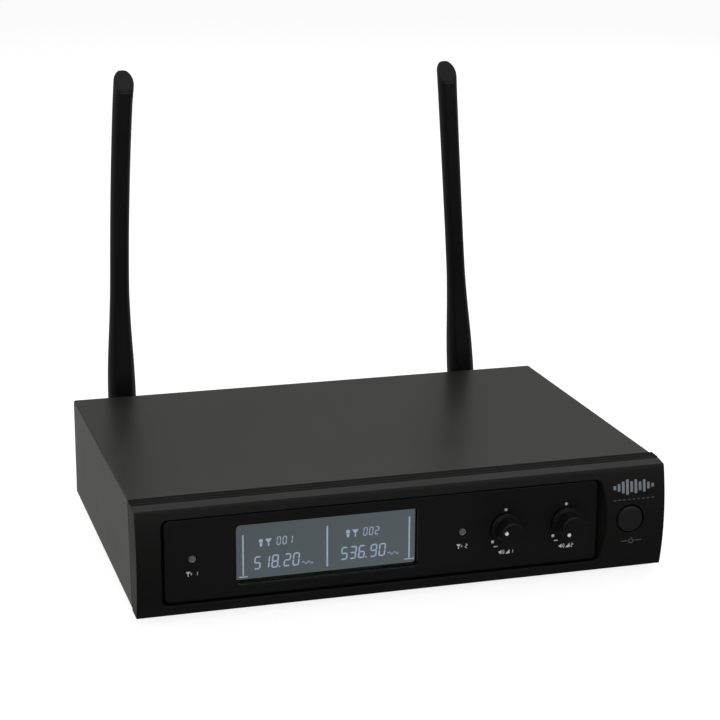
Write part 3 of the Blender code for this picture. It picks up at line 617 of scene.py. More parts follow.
def make_bezel():
    prof = front_outline()
    body = raw("front_bezel", slab(lambda d: inset(prof, d), -HALF_W, HALF_W, yz, (0.25, 0.25), 3))
    tools = []
    # hollow behind the face
    tools.append(raw("t", slab(lambda d: round_rect(-102.4 + d, 102.4 - d, 2.0 + d, 39.6 - d, 1.0 - d, 4),
                               4.7, 24.0, xz)))
    tools.append(raw("t", slab(lambda d: round_rect(-91.2, 74.3, 7.0, 34.0, 2.0, 4), 1.0, 6.0, xz)))

    # recess with a rounded mouth that follows the bow, and sloping ends
    floor_y = PANEL_Y[1] + GAP
    x0, x1, z0, z1 = PANEL_X[0] - 0.5, PANEL_X[1] + 0.5, PANEL_Z[0] - 0.5, PANEL_Z[1] + 0.5
    mx, mz = (x0 + x1) / 2.0, (z0 + z1) / 2.0
    base = []
    rr = round_rect(x0, x1, z0, z1, 2.4, 10)
    for a, b in zip(rr, rr[1:] + rr[:1]):      # points along the long sides too
        n = max(1, int((Vector(b) - Vector(a)).length / 4.0))
        base += [(a[0] + (b[0] - a[0]) * k / n, a[1] + (b[1] - a[1]) * k / n) for k in range(n)]

    def wall(p, y):
        rise = floor_y - y
        u = (p[1] - mz) / 16.6
        slope = 0.12 + 0.46 * max(0.0, 1.0 - u * u) if p[0] > mx else 0.22
        return (p[0] + math.copysign(slope * rise, p[0] - mx),
                p[1] + math.copysign(0.06 * rise, p[1] - mz))

    def ring(e, depth, out):
        pts = [wall(p, front_y(p[1]) + depth) for p in base]
        pts = inset(pts, -out) if out else pts
        return [(x, front_y(z) + depth, z) for x, z in pts]

    e, rings = 0.32, []
    rings.append([(x, -6.0, z) for x, y, z in ring(0, 0.0, e)])
    rings.append(ring(0, -0.03, e + 0.02))
    for k in range(1, 6):
        a = math.pi / 2.0 * k / 5
        rings.append(ring(0, e * (1.0 - math.cos(a)), e * (1.0 - math.sin(a))))
    rings.append([(x, floor_y, z) for x, z in base])
    tools.append(raw("t", loft(rings)))

    # button hole with a rounded mouth
    rings = []
    for depth, out in ([(-2.0, 0.30), (-0.03, 0.32)]
                       + [(0.30 * (1 - math.cos(math.pi / 2 * k / 5)),
                           0.30 * (1 - math.sin(math.pi / 2 * k / 5))) for k in range(1, 6)]):
        c = circle(BUTTON_X, BUTTON_Z, BUTTON_R + 0.5 + out, 72)
        rings.append([(x, front_y(z) + depth if depth > -1.0 else -6.0, z) for x, z in c])
    rings.append([(x, 12.0, z) for x, z in circle(BUTTON_X, BUTTON_Z, BUTTON_R + 0.5, 72)])
    tools.append(raw("t", loft(rings)))
    booleans(body, tools)
    return done(body, CASE, M["mould"], "front_bezel", 32.0)


make_bezel()


# =============================================================== inset panel
def make_panel():
    def shape(d):
        return round_rect(PANEL_X[0] + d, PANEL_X[1] - d, PANEL_Z[0] + d, PANEL_Z[1] - d, 2.0 - d, 10)

    panel = raw("display_panel", slab(shape, *PANEL_Y, xz, (0.28, 0.1), 4))

    def mouth(fn, e=0.14):
        rings = [[(u, PANEL_Y[0] - 1.0, v) for u, v in fn(e)],
                 [(u, PANEL_Y[0] - 0.02, v) for u, v in fn(e + 0.02)]]
        for k in range(1, 4):
            a = math.pi / 2.0 * k / 3
            rings.append([(u, PANEL_Y[0] + e * (1 - math.cos(a)), v)
                          for u, v in fn(e * (1 - math.sin(a)))])
        rings.append([(u, PANEL_Y[1] + 1.0, v) for u, v in fn(0.0)])
        return raw("t", loft(rings))

    tools = [mouth(lambda d: round_rect(WINDOW_X[0] - d, WINDOW_X[1] + d, WINDOW_Z[0] - d,
                                        WINDOW_Z[1] + d, 1.6 + d, 8))]
    for t, _ in SIDES:
        tools.append(mouth(lambda d, x=LED_X[t]: circle(x, CTRL_Z, 1.8 + d, 40)))
        tools.append(mouth(lambda d, x=KNOB_X[t]: circle(x, CTRL_Z, 3.6 + d, 56)))
    booleans(panel, tools)
    return done(panel, CASE, M["acrylic"], "display_panel", 32.0)


make_panel()


# ============================================================ printed marks
def prism(points, put_front, put_back):
    """A thin closed tile over an outline."""
    return loft([[put_front(u, v) for u, v in points], [put_back(u, v) for u, v in points]])


def on_panel(height=0.035):
    return (lambda u, v: (u, PANEL_Y[0] - height, v)), (lambda u, v: (u, PANEL_Y[0] + 0.03, v))


def on_face(height=0.035):
    return (lambda u, v: (u, front_y(v) - height, v)), (lambda u, v: (u, front_y(v) + 0.06, v))


def on_rear(height=0.03):
    return (lambda u, v: (u, CASE_D + height, v)), (lambda u, v: (u, CASE_D - 0.03, v))


def bar(x0, x1, z0, z1, rows=1):
    left = [(x0, z0 + (z1 - z0) * k / rows) for k in range(rows + 1)]
    right = [(x1, z0 + (z1 - z0) * k / rows) for k in range(rows + 1)]
    return right + left[::-1]


def band(cx, cz, r0, r1, start, end, steps=20):
    return arc(cx, cz, r1, start, end, steps) + arc(cx, cz, r0, end, start, steps)


SEGMENTS = {"0": "abcdef", "1": "bc", "2": "abged", "3": "abgcd", "4": "fgbc", "5": "afgcd",
            "6": "afgedc", "7": "abc", "8": "abcdefg", "9": "abcdfg"}


def seven(ch, x, z, w, h, t, lean=0.0, gap=0.06):
    """Outlines of one seven-bar numeral, its lower left corner at x, z."""
    m, hh, c = t / 2.0, h / 2.0, gap

    def hor(z0):
        return [(m + c, z0), (2 * m + c, z0 - m), (w - 2 * m - c, z0 - m), (w - m - c, z0),
                (w - 2 * m - c, z0 + m), (2 * m + c, z0 + m)]

    def ver(x0, z0, z1):
        return [(x0, z0 + c), (x0 + m, z0 + m + c), (x0 + m, z1 - m - c), (x0, z1 - c),
                (x0 - m, z1 - m - c), (x0 - m, z0 + m + c)]

    shapes = {"a": hor(h - m), "g": hor(hh), "d": hor(m), "f": ver(m, hh, h - m),
              "b": ver(w - m, hh, h - m), "e": ver(m, m, hh), "c": ver(w - m, m, hh)}
    k = math.tan(math.radians(lean))
    return [[(x + u + v * k, z + v) for u, v in shapes[s]] for s in SEGMENTS[ch]]


def aerial(x, z, s):
    """A small aerial: a filled wedge, point down, on a short mast."""
    return [bar(x - 0.09 * s, x + 0.09 * s, z, z + 0.40 * s),
            [(x - 0.46 * s, z + s), (x + 0.46 * s, z + s), (x + 0.07 * s, z + 0.46 * s),
             (x - 0.07 * s, z + 0.46 * s)]]


def waves(x, z, s, side=1):
    a = (-38, 38) if side > 0 else (142, 218)
    return [band(x, z, r * s, (r + 0.17) * s, *a, 10) for r in (0.30, 0.68)]


def speaker(x, z, s):
    return [[(x, z + 0.30 * s), (x + 0.26 * s, z + 0.30 * s), (x + 0.62 * s, z), (x + 0.62 * s, z + s),
             (x + 0.26 * s, z + 0.70 * s), (x, z + 0.70 * s)]] + [
        band(x + 0.50 * s, z + 0.5 * s, r * s, (r + 0.14) * s, -42, 42, 8) for r in (0.34, 0.66)]


def tiles(name, shapes, where, mat, body=CASE):
    f, b = where
    ob = raw(name, merged(*[prism(s, f, b) for s in shapes]))
    return done(ob, body, mat)


def make_print():
    marks = []
    for t, number in (("a", "1"), ("b", "2")):
        x = LED_X[t]
        marks += aerial(x - 1.7, 14.15, 1.9)
        marks += waves(x - 1.15, 15.15, 1.05)
        marks += seven(number, x + 0.9, 14.2, 1.05, 1.75, 0.30)
        x = KNOB_X[t]
        marks.append(circle(x, CTRL_Z + 7.4, 0.62, 28))
        a = math.radians(-135.0)
        marks.append(circle(x + 7.4 * math.sin(a), CTRL_Z + 7.4 * math.cos(a), 0.62, 28))
        marks.append(bar(x - 4.7, x - 3.1, CTRL_Z - 7.5, CTRL_Z - 7.12))
        marks += speaker(x - 2.6, 10.1, 1.8)
        marks.append([(x + 0.1, 10.15), (x + 1.9, 10.15), (x + 1.9, 11.85)])
        marks += seven(number, x + 2.3, 10.1, 1.05, 1.75, 0.30)
    tiles("panel_print", marks, on_panel(), M["print"])

    # on the frame: the on/off sign with two rules, and a level meter
    sign = [band(BUTTON_X + 0.9, 11.15, 0.80, 1.12, 132, 408, 26),
            bar(BUTTON_X + 0.75, BUTTON_X + 1.05, 11.35, 12.55, 2),
            bar(BUTTON_X - 3.4, BUTTON_X - 0.7, 10.98, 11.30),
            bar(BUTTON_X + 2.5, BUTTON_X + 5.2, 10.98, 11.30)]
    tiles("switch_print", sign, on_face(), M["print_dim"])
    heights = (1.6, 3.0, 4.6, 6.0, 4.2, 5.4, 3.4, 4.8, 2.6, 1.4)
    meter, x = [], 83.2
    for h in heights:
        meter.append(bar(x, x + 1.10, 33.35 - h / 2.0, 33.35 + h / 2.0, 8))
        x += 1.78
    tiles("meter_print", meter, on_face(), M["print_grey"])
    tiles("rule_print", [bar(83.2 + 2.0 * k, 84.4 + 2.0 * k, 28.2, 28.55, 1) for k in range(9)],
          on_face(), M["print_dim"])


make_print()


# =================================================================== display
def make_display():
    def pane(d):
        return round_rect(-72.0 + d, 9.0 - d, 7.4 + d, 33.6 - d, 0.8 - d, 5)

    ob = raw("lcd_glass", slab(pane, 3.2, 5.0, xz, (0.15, 0.15), 2))
    done(ob, CASE, M["glass"], "lcd_glass")

    # black printed border on the back of the glass
    outer = round_rect(-71.6, 8.6, 7.6, 33.4, 0.8, 6)
    inner = round_rect(-66.9, 3.8, 9.4, 31.75, 1.0, 6)
    rings = [[(u, 5.03, v) for u, v in outer], [(u, 5.03, v) for u, v in inner],
             [(u, 5.10, v) for u, v in inner], [(u, 5.10, v) for u, v in outer]]
    ob = raw("lcd_border", loft(rings, close=True))
    done(ob, CASE, M["border"])

    # display module: dark frame, lit face a little behind its rim
    def module(d):
        return round_rect(-74.0 + d, 11.0 - d, 5.5 + d, 35.0 - d, 0.6 - d, 4)

    def face(d):
        return round_rect(-70.5 + d, 7.5 - d, 7.2 + d, 33.2 - d, 0.4 - d, 4)

    rings = [[xz(u, v, 5.3) for u, v in face(0.0)], [xz(u, v, 5.3) for u, v in module(0.3)],
             [xz(u, v, 5.6) for u, v in module(0.0)], [xz(u, v, 8.7) for u, v in module(0.0)],
             [xz(u, v, 9.0) for u, v in module(0.3)]]
    bm = loft(rings)
    ob = raw("lcd_module", bm)
    me = ob.data
    big = max((p for p in me.polygons if len(p.vertices) > 4 and p.center.y < 5.31),
              key=lambda p: p.area).index
    ob = done(ob, CASE, [M["insulator"], M["lit"]], "lcd_backlight")
    ob.data.polygons[big].material_index = 1

    # figures and signs, standing a hair in front of the lit face
    shapes = []

    def number(text, x, z, w, h, t, pitch, dot):
        for ch in text:
            if ch == ".":
                shapes.append(bar(x - pitch + w + 0.34, x - pitch + w + 0.34 + t, z, z + t))
                x += dot
                continue
            shapes.extend(seven(ch, x, z, w, h, t, 6.0, 0.05))
            x += pitch

    def wave_sign(x, z, w, h):
        n, t = 24, 0.26
        up = [(x + w * k / n, z + h / 2 + (h / 2 - t) * math.sin(4 * math.pi * k / n)) for k in range(n + 1)]
        shapes.append([(u, v + t) for u, v in up] + [(u, v - t * 0.2) for u, v in up[::-1]])

    def mic_sign(x, z, s):
        shapes.append(circle(x, z + 0.74 * s, 0.26 * s, 20))
        shapes.append([(x - 0.20 * s, z + 0.42 * s), (x - 0.11 * s, z), (x + 0.11 * s, z), (x + 0.20 * s, z + 0.42 * s)])

    for x0, z0, chan, freq in ((DISPLAY_A[0], DISPLAY_A[1], "001", "518.20"),
                               (DISPLAY_B[0], DISPLAY_B[1], "002", "536.90")):
        mic_sign(x0 + 3.0, z0 + 9.1, 3.0)
        shapes.extend(aerial(x0 + 5.9, z0 + 9.1, 2.9))
        number(chan, x0 + 8.9, z0 + 9.1, 1.62, 3.3, 0.34, 2.3, 1.0)
        number(freq, x0, z0 + 0.15, 2.65, 5.2, 0.52, 3.42, 1.3)
        wave_sign(x0 + 18.8, z0 + 0.1, 4.4, 1.5)
    shapes.append(bar(-63.85, -63.35, 10.75, 26.9))
    shapes.append(bar(-65.2, -61.9, 10.05, 10.42))
    shapes.append(bar(-31.25, -30.65, 11.1, 27.3))
    shapes.append(bar(1.3, 1.85, 11.2, 27.9))
    shapes.append(bar(-0.3, 3.55, 10.55, 10.92))
    ob = raw("lcd_figures", merged(*[prism(s, lambda u, v: (u, 5.20, v), lambda u, v: (u, 5.27, v))
                                     for s in shapes]))
    done(ob, CASE, M["digits"])


DISPLAY_A = (-59.7, 12.6)
DISPLAY_B = (-25.8, 12.85)
make_display()


# ===================================================================== lamps
for t, _ in SIDES:
    dome = ([(0.0, 8.5)] + [(1.5 * math.sin(math.radians(a)), 7.6 + 0.9 * math.cos(math.radians(a)))
                            for a in range(10, 91, 10)]
            + [(1.5, 1.4), (1.85, 1.35), (1.9, 1.2), (1.9, 0.35), (1.85, 0.3), (0.0, 0.3)])
    ob = raw("led_rf_" + t, lathe(dome, 40))
    done(ob, CASE, M["lens"], "led_rf_" + t,
         local=spot(LED_X[t], 9.0, CTRL_Z, FRONTWARD))


# ===================================================================== knobs
def make_knob(t):
    local = spot(KNOB_X[t], 0.3, CTRL_Z, 0.0, math.radians(KNOB_TURN[t]))
    prof = fillet([(0.0, 8.6), (4.72, 8.6), (4.90, 8.0), (5.05, 1.62), (5.95, 1.52),
                   (6.2, 1.2), (6.2, 0.0), (3.3, 0.0), (3.3, 6.4), (0.0, 6.4)],
                  [0, 0.42, 0.3, 0.25, 0.15, 0.15, 0.12, 0.1, 0.1, 0], 5, closed=False)
    knob = raw("knob_" + t, lathe(prof, 96), Matrix.Rotation(FRONTWARD, 4, "X"))
    # pocket of the pointer, with a soft rim
    pocket = raw("t", lathe([(0.0, 2.0), (1.02, 2.0), (1.02, 0.02), (0.93, -0.05), (0.90, -0.14),
                             (0.90, -0.80), (0.0, -0.80)], 40),
                 spot(0.0, -8.6, 3.0, FRONTWARD))
    booleans(knob, [pocket])
    done(knob, KNOBS + t, M["knob"], "knob_" + t, 36.0, local)
    dot = raw("knob_pointer_" + t,
              lathe([(0.0, 0.36), (0.40, 0.345), (0.66, 0.27), (0.78, 0.13), (0.80, 0.0),
                     (0.80, -0.34), (0.0, -0.34)], 40), spot(0.0, -8.22, 3.0, FRONTWARD))
    done(dot, KNOBS + t, M["white"], "knob_pointer_" + t, 50.0, local)


for t, _ in SIDES:
    make_knob(t)


# ============================================================== power button
def make_button():
    prof = fillet([(0.0, 0.0), (3.9, -0.02), (4.72, -0.14), (5.12, -0.40), (BUTTON_R, -0.85),
                   (BUTTON_R, -3.4), (0.0, -3.4)], [0, 0.8, 0.5, 0.4, 0.3, 0.12, 0], 5, closed=False)
    b = raw("power_button", lathe(prof, 96))
    done(b, BUTTON, M["button"], "power_button", 36.0,
         spot(BUTTON_X, -2.3, BUTTON_Z, FRONTWARD))


make_button()


# =============================================================== steel cover
def cover_outline():
    o, i, w, h, t, lip = 0.8, 0.3, HALF_W, CASE_H, SHEET, 94.5
    outer = (arc(w - o, h - o, o, 0, 90, 10) + arc(-w + o, h - o, o, 90, 180, 10)
             + arc(-w + o, o, o, 180, 270, 10) + [(-lip, 0.0), (-lip, t)])
    inner = (arc(-w + t + i, t + i, i, 270, 180, 5) + arc(-w + t + i, h - t - i, i, 180, 90, 5)
             + arc(w - t - i, h - t - i, i, 90, 0, 5) + arc(w - t - i, t + i, i, 360, 270, 5))
    return outer + inner + [(lip, t), (lip, 0.0)] + arc(w - o, o, o, 270, 359, 10)


def screw_holes():
    return [raw("t", lathe([(0.0, 4.0), (1.8, 4.0), (1.8, 0.35), (2.15, -0.02), (2.3, -3.0), (0.0, -3.0)], 32),
                spot(sx * SCREW_X, y, 0.0)) for sx in (-1, 1) for y in SCREW_Y]


def make_cover():
    base = cover_outline()
    e = 0.14
    rings = []
    for d, off in ((e, 0.0), (e * 0.3, e * 0.3), (0.0, e)):
        rings.append([(x, bezel_rear(z) + 0.35 + off, z) for x, z in inset(base, d)])
    for d, off in ((0.0, e), (e * 0.3, e * 0.3), (e, 0.0)):
        rings.append([(x, CASE_D - off, z) for x, z in inset(base, d)])
    cover = raw("top_cover", loft(rings))
    booleans(cover, screw_holes())
    return done(cover, CASE, M["paint"], "top_cover", 32.0)


make_cover()


# ================================================================ steel tray
def make_tray():
    z0, z1 = SHEET + GAP, 2.0 * SHEET + GAP
    f0, f1, top = 12.0, 13.0, CASE_H - SHEET - GAP
    pts = [(f0, z0), (CASE_D, z0), (CASE_D, top), (REAR_IN, top), (REAR_IN, z1), (f1, z1),
           (f1, 14.0), (f0, 14.0)]
    prof = fillet(pts, [1.2, 1.2, 0.12, 0.12, 0.35, 0.35, 0.1, 0.1], 6)
    tray = raw("bottom_tray", slab(lambda d: inset(prof, d), -103.6, 103.6, yz, (0.12, 0.12), 2))
    tools = []

    def hole(fn, e=0.18):
        rings = [[(u, CASE_D + 1.0, v) for u, v in fn(e)], [(u, CASE_D + 0.02, v) for u, v in fn(e + 0.02)]]
        for k in range(1, 4):
            a = math.pi / 2.0 * k / 3
            rings.append([(u, CASE_D - e * (1 - math.cos(a)), v) for u, v in fn(e * (1 - math.sin(a)))])
        rings.append([(u, REAR_IN - 1.5, v) for u, v in fn(0.0)])
        tools.append(raw("t", loft(rings)))

    for t, sx in SIDES:
        hole(lambda d: circle(sx * ANT_X, ANT_Z, 4.5 + d, 48))
        hole(lambda d: circle(XLR_X[t], XLR_Z, 11.4 + d, 80))
    hole(lambda d: circle(JACK_X, JACK_Z, 4.9 + d, 48))
    hole(lambda d: round_rect(DC_X - 4.9 - d, DC_X + 4.9 + d, DC_Z - 5.9 - d, DC_Z + 5.9 + d, 0.6, 4))
    for sx in (-1, 1):
        for y in SCREW_Y:
            tools.append(raw("t", lathe([(0.0, 6.0), (1.8, 6.0), (1.8, -3.0), (0.0, -3.0)], 32),
                             spot(sx * SCREW_X, y, 0.0)))
    booleans(tray, tools)
    done(tray, CASE, M["paint"], "bottom_tray", 32.0)

    # rear print: numbers and rules only
    marks = []
    for t, number in (("a", "1"), ("b", "2")):
        side = -1 if t == "a" else 1
        marks += [[(u, v) for u, v in s] for s in seven(number, XLR_X[t] - 0.9 + 0.0, 38.1, 1.2, 1.7, 0.3)]
        marks += seven(number, side * 66.0 - 0.6, 21.0, 1.5, 2.3, 0.36)
        marks += waves(side * 69.3, 22.1, 1.5, side)
    for x0, x1 in ((-58.0, 8.0),):
        marks += [bar(x0, x1, 4.35, 4.6)]
    marks += seven("1", JACK_X - 2.6, 26.6, 1.1, 1.7, 0.3) + seven("2", JACK_X + 1.3, 26.6, 1.1, 1.7, 0.3)
    marks += [bar(JACK_X - 0.65, JACK_X + 0.65, 27.35, 27.6), bar(JACK_X - 0.12, JACK_X + 0.12, 27.68, 28.1),
              bar(JACK_X - 0.12, JACK_X + 0.12, 26.85, 27.27)]
    marks += [bar(DC_X - 2.2, DC_X + 2.2, 24.6, 24.95)]
    marks += [bar(DC_X - 2.2 + 1.6 * k, DC_X - 1.0 + 1.6 * k, 23.7, 24.05) for k in range(3)]
    # mirrored so that the numbers read from behind
    flipped = []
    for s in marks:
        cx = None
        flipped.append(s)
    tiles("rear_print", mirrored_marks(flipped), on_rear(), M["print"])


def mirrored_marks(shapes):
    """Seen from behind, left and right change places: each small mark is
    turned about its own middle where it lies."""
    groups, out = [], []
    for s in shapes:
        cx = sum(p[0] for p in s) / len(s)
        cz = sum(p[1] for p in s) / len(s)
        for g in groups:
            if abs(g[0] - cx) < 4.2 and abs(g[1] - cz) < 1.6:
                g[2].append(s)
                break
        else:
            groups.append([cx, cz, [s]])
    for _, _, members in groups:
        xs = [p[0] for s in members for p in s]
        mid = (min(xs) + max(xs)) / 2.0
        out += [[(2 * mid - u, v) for u, v in s] for s in members]
    return out


make_tray()


# ============================================================ feet and screws
FOOT_NAMES = (("front_left", -1, 0), ("front_right", 1, 0), ("rear_left", -1, 1), ("rear_right", 1, 1))
for name, sx, j in FOOT_NAMES:
    prof = fillet([(0.0, 3.5), (6.4, 3.5), (6.4, 0.9), (5.9, 0.0), (3.4, 0.0), (3.1, 0.6), (0.0, 0.6)],
                  [0, 0.15, 0.4, 0.4, 0.25, 0.2, 0], 4, closed=False)
    ob = raw("foot_" + name, lathe(prof, 64))
    done(ob, CASE, M["rubber"], "foot_" + name,
         local=spot(sx * FOOT_X, FOOT_Y[j], -FOOT_H))
    prof = fillet([(0.0, 6.6), (1.0, 6.6), (1.45, 6.0), (1.45, 1.5), (2.8, 1.5), (2.8, 0.75),
                   (2.1, 0.12), (0.0, 0.0)], [0, 0.2, 0.2, 0.05, 0.08, 0.3, 0.5, 0], 4, closed=False)

    def thread(r, h, a):
        return 0.10 * math.cos(2.0 * math.pi * (h / 0.8) - a) if 1.7 < h < 6.2 and r > 1.2 else 0.0

    dense = []
    for a, b in zip(prof, prof[1:]):
        n = max(1, int(abs(b[1] - a[1]) / 0.16)) if abs(a[0] - b[0]) < 0.01 and a[0] > 1.2 and a[1] > 1.5 else 1
        dense += [(a[0] + (b[0] - a[0]) * k / n, a[1] + (b[1] - a[1]) * k / n) for k in range(n)]
    dense.append(prof[-1])
    screw = raw("cover_screw_" + name, lathe(dense, 40, thread))
    cross = []
    for turn in (0.0, math.pi / 2.0):
        cross.append(raw("t", loft([[(1.5, 0.30, -0.3), (-1.5, 0.30, -0.3), (-1.5, -0.30, -0.3), (1.5, -0.30, -0.3)],
                                    [(0.55, 0.22, 1.1), (-0.55, 0.22, 1.1), (-0.55, -0.22, 1.1), (0.55, -0.22, 1.1)]]),
                         Matrix.Rotation(turn + 0.4 * sx + 0.7 * j, 4, "Z")))
    booleans(screw, cross)
    done(screw, CASE, M["black_metal"], "cover_screw_" + name,
         local=spot(sx * SCREW_X, SCREW_Y[j], -1.8))


# ========================================================= output connectors
def hex_nut(name, x, y, z, across_r, thick, bore, mat, replaces, turn=0.0):
    """Hexagon nut with both rims turned off, its axis along the case's depth."""
    hexa = raw(name, loft([[(across_r * math.cos(turn + math.pi / 3 * k),
                             across_r * math.sin(turn + math.pi / 3 * k), h) for k in range(6)]
                           for h in (-thick / 2, thick / 2)]))
    t, r, c = thick / 2.0, across_r, across_r * 0.10
    form = raw("t", lathe([(0.0, t), (r - c * 1.5, t), (r + 0.02, t - c * 0.62), (r + 0.02, -t + c * 0.62),
                           (r - c * 1.5, -t), (0.0, -t)], 72))
    booleans(hexa, [form], "INTERSECT")
    hole = raw("t", lathe([(0.0, t + 1), (bore + 0.3, t + 1), (bore + 0.3, t), (bore, t - 0.3), (bore, -t + 0.3),
                           (bore + 0.3, -t), (bore + 0.3, -t - 1), (0.0, -t - 1)], 56))
    booleans(hexa, [hole])
    return done(hexa, CASE, mat, replaces, 28.0, spot(x, y, z, REARWARD))


def make_xlr(t):
    x = XLR_X[t]
    flange = raw("xlr_shell_" + t, slab(
        lambda d: round_rect(x - 13.0 + d, x + 13.0 - d, XLR_Z - 15.5 + d, XLR_Z + 15.5 - d, 2.5 - d, 8),
        CASE_D + GAP, CASE_D + 2.3, xz, (0.08, 0.45), 4))
    barrel = raw("t", lathe(fillet([(0.0, -20.2), (11.0, -20.2), (11.0, 2.55), (0.0, 2.55)],
                                   [0, 0.3, 0.35, 0], 4, closed=False), 96), spot(x, CASE_D, XLR_Z, REARWARD))
    booleans(flange, [barrel], "UNION")
    cuts = [raw("t", lathe([(0.0, 6.0), (9.9, 6.0), (9.9, 2.55), (9.55, 2.35), (9.4, 2.0), (9.4, -30.0),
                            (0.0, -30.0)], 96), spot(x, CASE_D, XLR_Z, REARWARD))]
    for sx, sz in ((-1, 1), (1, -1)):
        # countersunk fixing holes at two corners
        cuts.append(raw("t", lathe([(0.0, 4.0), (3.05, 4.0), (3.05, 2.3), (1.7, 1.0), (1.7, -1.0), (0.0, -1.0)], 48),
                        spot(x + sx * 10.0, CASE_D, XLR_Z + sz * 12.4, REARWARD)))
    booleans(flange, cuts)
    done(flange, CASE, M["nickel"], "xlr_shell_" + t, 30.0)

    for k, (sx, sz) in enumerate(((-1, 1), (1, -1)), 1):
        head = raw("xlr_screw_%s%d" % (t, k), lathe(
            [(0.0, 2.02), (1.2, 2.00), (2.3, 1.90), (2.78, 1.72), (2.80, 1.55), (1.5, 0.95), (1.5, 0.45), (0.0, 0.45)], 48))
        slots = [raw("t", loft([[(1.55, 0.28, 2.4), (-1.55, 0.28, 2.4), (-1.55, -0.28, 2.4), (1.55, -0.28, 2.4)],
                                [(0.6, 0.2, 0.9), (-0.6, 0.2, 0.9), (-0.6, -0.2, 0.9), (0.6, -0.2, 0.9)]]),
                     Matrix.Rotation(a + 0.35 * k + (0.2 if t == "a" else 0.9), 4, "Z")) for a in (0.0, math.pi / 2)]
        booleans(head, slots)
        done(head, CASE, M["black_metal"], (), 30.0,
             spot(x + sx * 10.0, CASE_D, XLR_Z + sz * 12.4, REARWARD))

    insert = raw("xlr_insert_" + t, lathe(fillet([(0.0, 4.0), (9.1, 4.0), (9.1, 0.0), (0.0, 0.0)],
                                                 [0, 0.4, 0.2, 0], 4, closed=False), 80),
                 spot(x, CASE_D - 13.9, XLR_Z, REARWARD))
    rims = []
    for deg in (150.0, 30.0, 270.0):
        px, pz = x + 4.75 * math.cos(math.radians(deg)), XLR_Z + 4.75 * math.sin(math.radians(deg))
        rims.append(raw("t", lathe([(0.0, 6.0), (2.0, 6.0), (2.0, 3.6), (1.15, 3.6), (1.15, -1.0), (0.0, -1.0)], 40),
                        spot(px, CASE_D - 13.9, pz, REARWARD)))
    booleans(insert, rims)
    done(insert, CASE, M["insulator"], "xlr_insert_" + t, 30.0)
    pins = []
    for deg in (150.0, 30.0, 270.0):
        px, pz = x + 4.75 * math.cos(math.radians(deg)), XLR_Z + 4.75 * math.sin(math.radians(deg))
        prof = fillet([(0.0, 0.75), (0.75, 0.75), (1.2, -0.1), (1.2, -11.0), (1.1, -11.0), (1.1, -12.8), (0.0, -12.8)],
                      [0, 0.35, 0.3, 0, 0, 0.1, 0], 5, closed=False)
        pins.append(moved(lathe(prof, 40), spot(px, CASE_D, pz, REARWARD)))
    ob = raw("xlr_pins_" + t, merged(*pins))
    done(ob, CASE, M["gold"], (), 40.0)


for t, _ in SIDES:
    make_xlr(t)


def make_jack():
    body = raw("jack_socket", slab(lambda d: round_rect(JACK_X - 8.0 + d, JACK_X + 8.0 - d, 9.8 + d, 26.2 - d, 0.6 - d, 4),
                                   120.0, REAR_IN - GAP, xz, (0.3, 0.3), 3))
    hollow = raw("t", lathe([(0.0, 6.0), (4.5, 6.0), (4.5, -24.0), (0.0, -24.0)], 56), spot(JACK_X, CASE_D, JACK_Z, REARWARD))
    booleans(body, [hollow])
    done(body, CASE, M["insulator"], "jack_socket", 30.0)

    def thread(r, h, a):
        return 0.09 * math.cos(2.0 * math.pi * (h / 0.75) - a) if r > 4.2 and -8.0 < h < 2.4 else 0.0

    outer = [(4.35, 3.2 - 0.14 * k) for k in range(85)]
    prof = [(3.55, 3.35), (4.1, 3.35), (4.3, 3.25)] + outer + [(4.35, -8.9), (3.3, -8.9), (3.3, 3.1)]
    bush = raw("jack_bush", lathe(prof, 56, thread))
    done(bush, CASE, M["nickel"], (), 40.0, spot(JACK_X, CASE_D - 0.15, JACK_Z, REARWARD))
    lining = raw("jack_bore", lathe([(0.0, -16.9), (3.2, -16.9), (3.2, -9.1), (4.2, -9.1), (4.2, -17.6),
                                     (0.0, -17.6)], 48))
    done(lining, CASE, M["insulator"], (), 30.0, spot(JACK_X, CASE_D, JACK_Z, REARWARD))
    hex_nut("jack_nut", JACK_X, CASE_D + 1.4, JACK_Z, 6.6, 2.2, 4.75, M["nickel"], "jack_nut", 0.3)


make_jack()


def make_dc():
    body = raw("dc_inlet", slab(lambda d: round_rect(DC_X - 4.6 + d, DC_X + 4.6 - d, DC_Z - 5.6 + d, DC_Z + 5.6 - d, 0.7 - d * 0.5, 4),
                                132.0, CASE_D + 0.9, xz, (0.3, 0.35), 3))
    ring = raw("t", lathe([(0.0, 3.0), (3.25, 3.0), (3.25, 0.9), (2.9, 0.55), (2.9, -9.0), (0.0, -9.0)], 56),
               spot(DC_X, CASE_D, DC_Z, REARWARD))
    booleans(body, [ring])
    done(body, CASE, M["insulator"], "dc_inlet", 30.0)
    core = raw("dc_pin", lathe(fillet([(0.0, 0.2), (1.0, 0.2), (1.0, -9.4), (0.0, -9.4)], [0, 0.6, 0, 0], 6, closed=False), 32))
    done(core, CASE, M["nickel"], (), 40.0, spot(DC_X, CASE_D, DC_Z, REARWARD))
    spring = raw("dc_sleeve", lathe([(2.66, -1.2), (2.86, -1.2), (2.86, -8.9), (2.66, -8.9)], 48))
    done(spring, CASE, M["nickel"], (), 30.0, spot(DC_X, CASE_D, DC_Z, REARWARD))


make_dc()


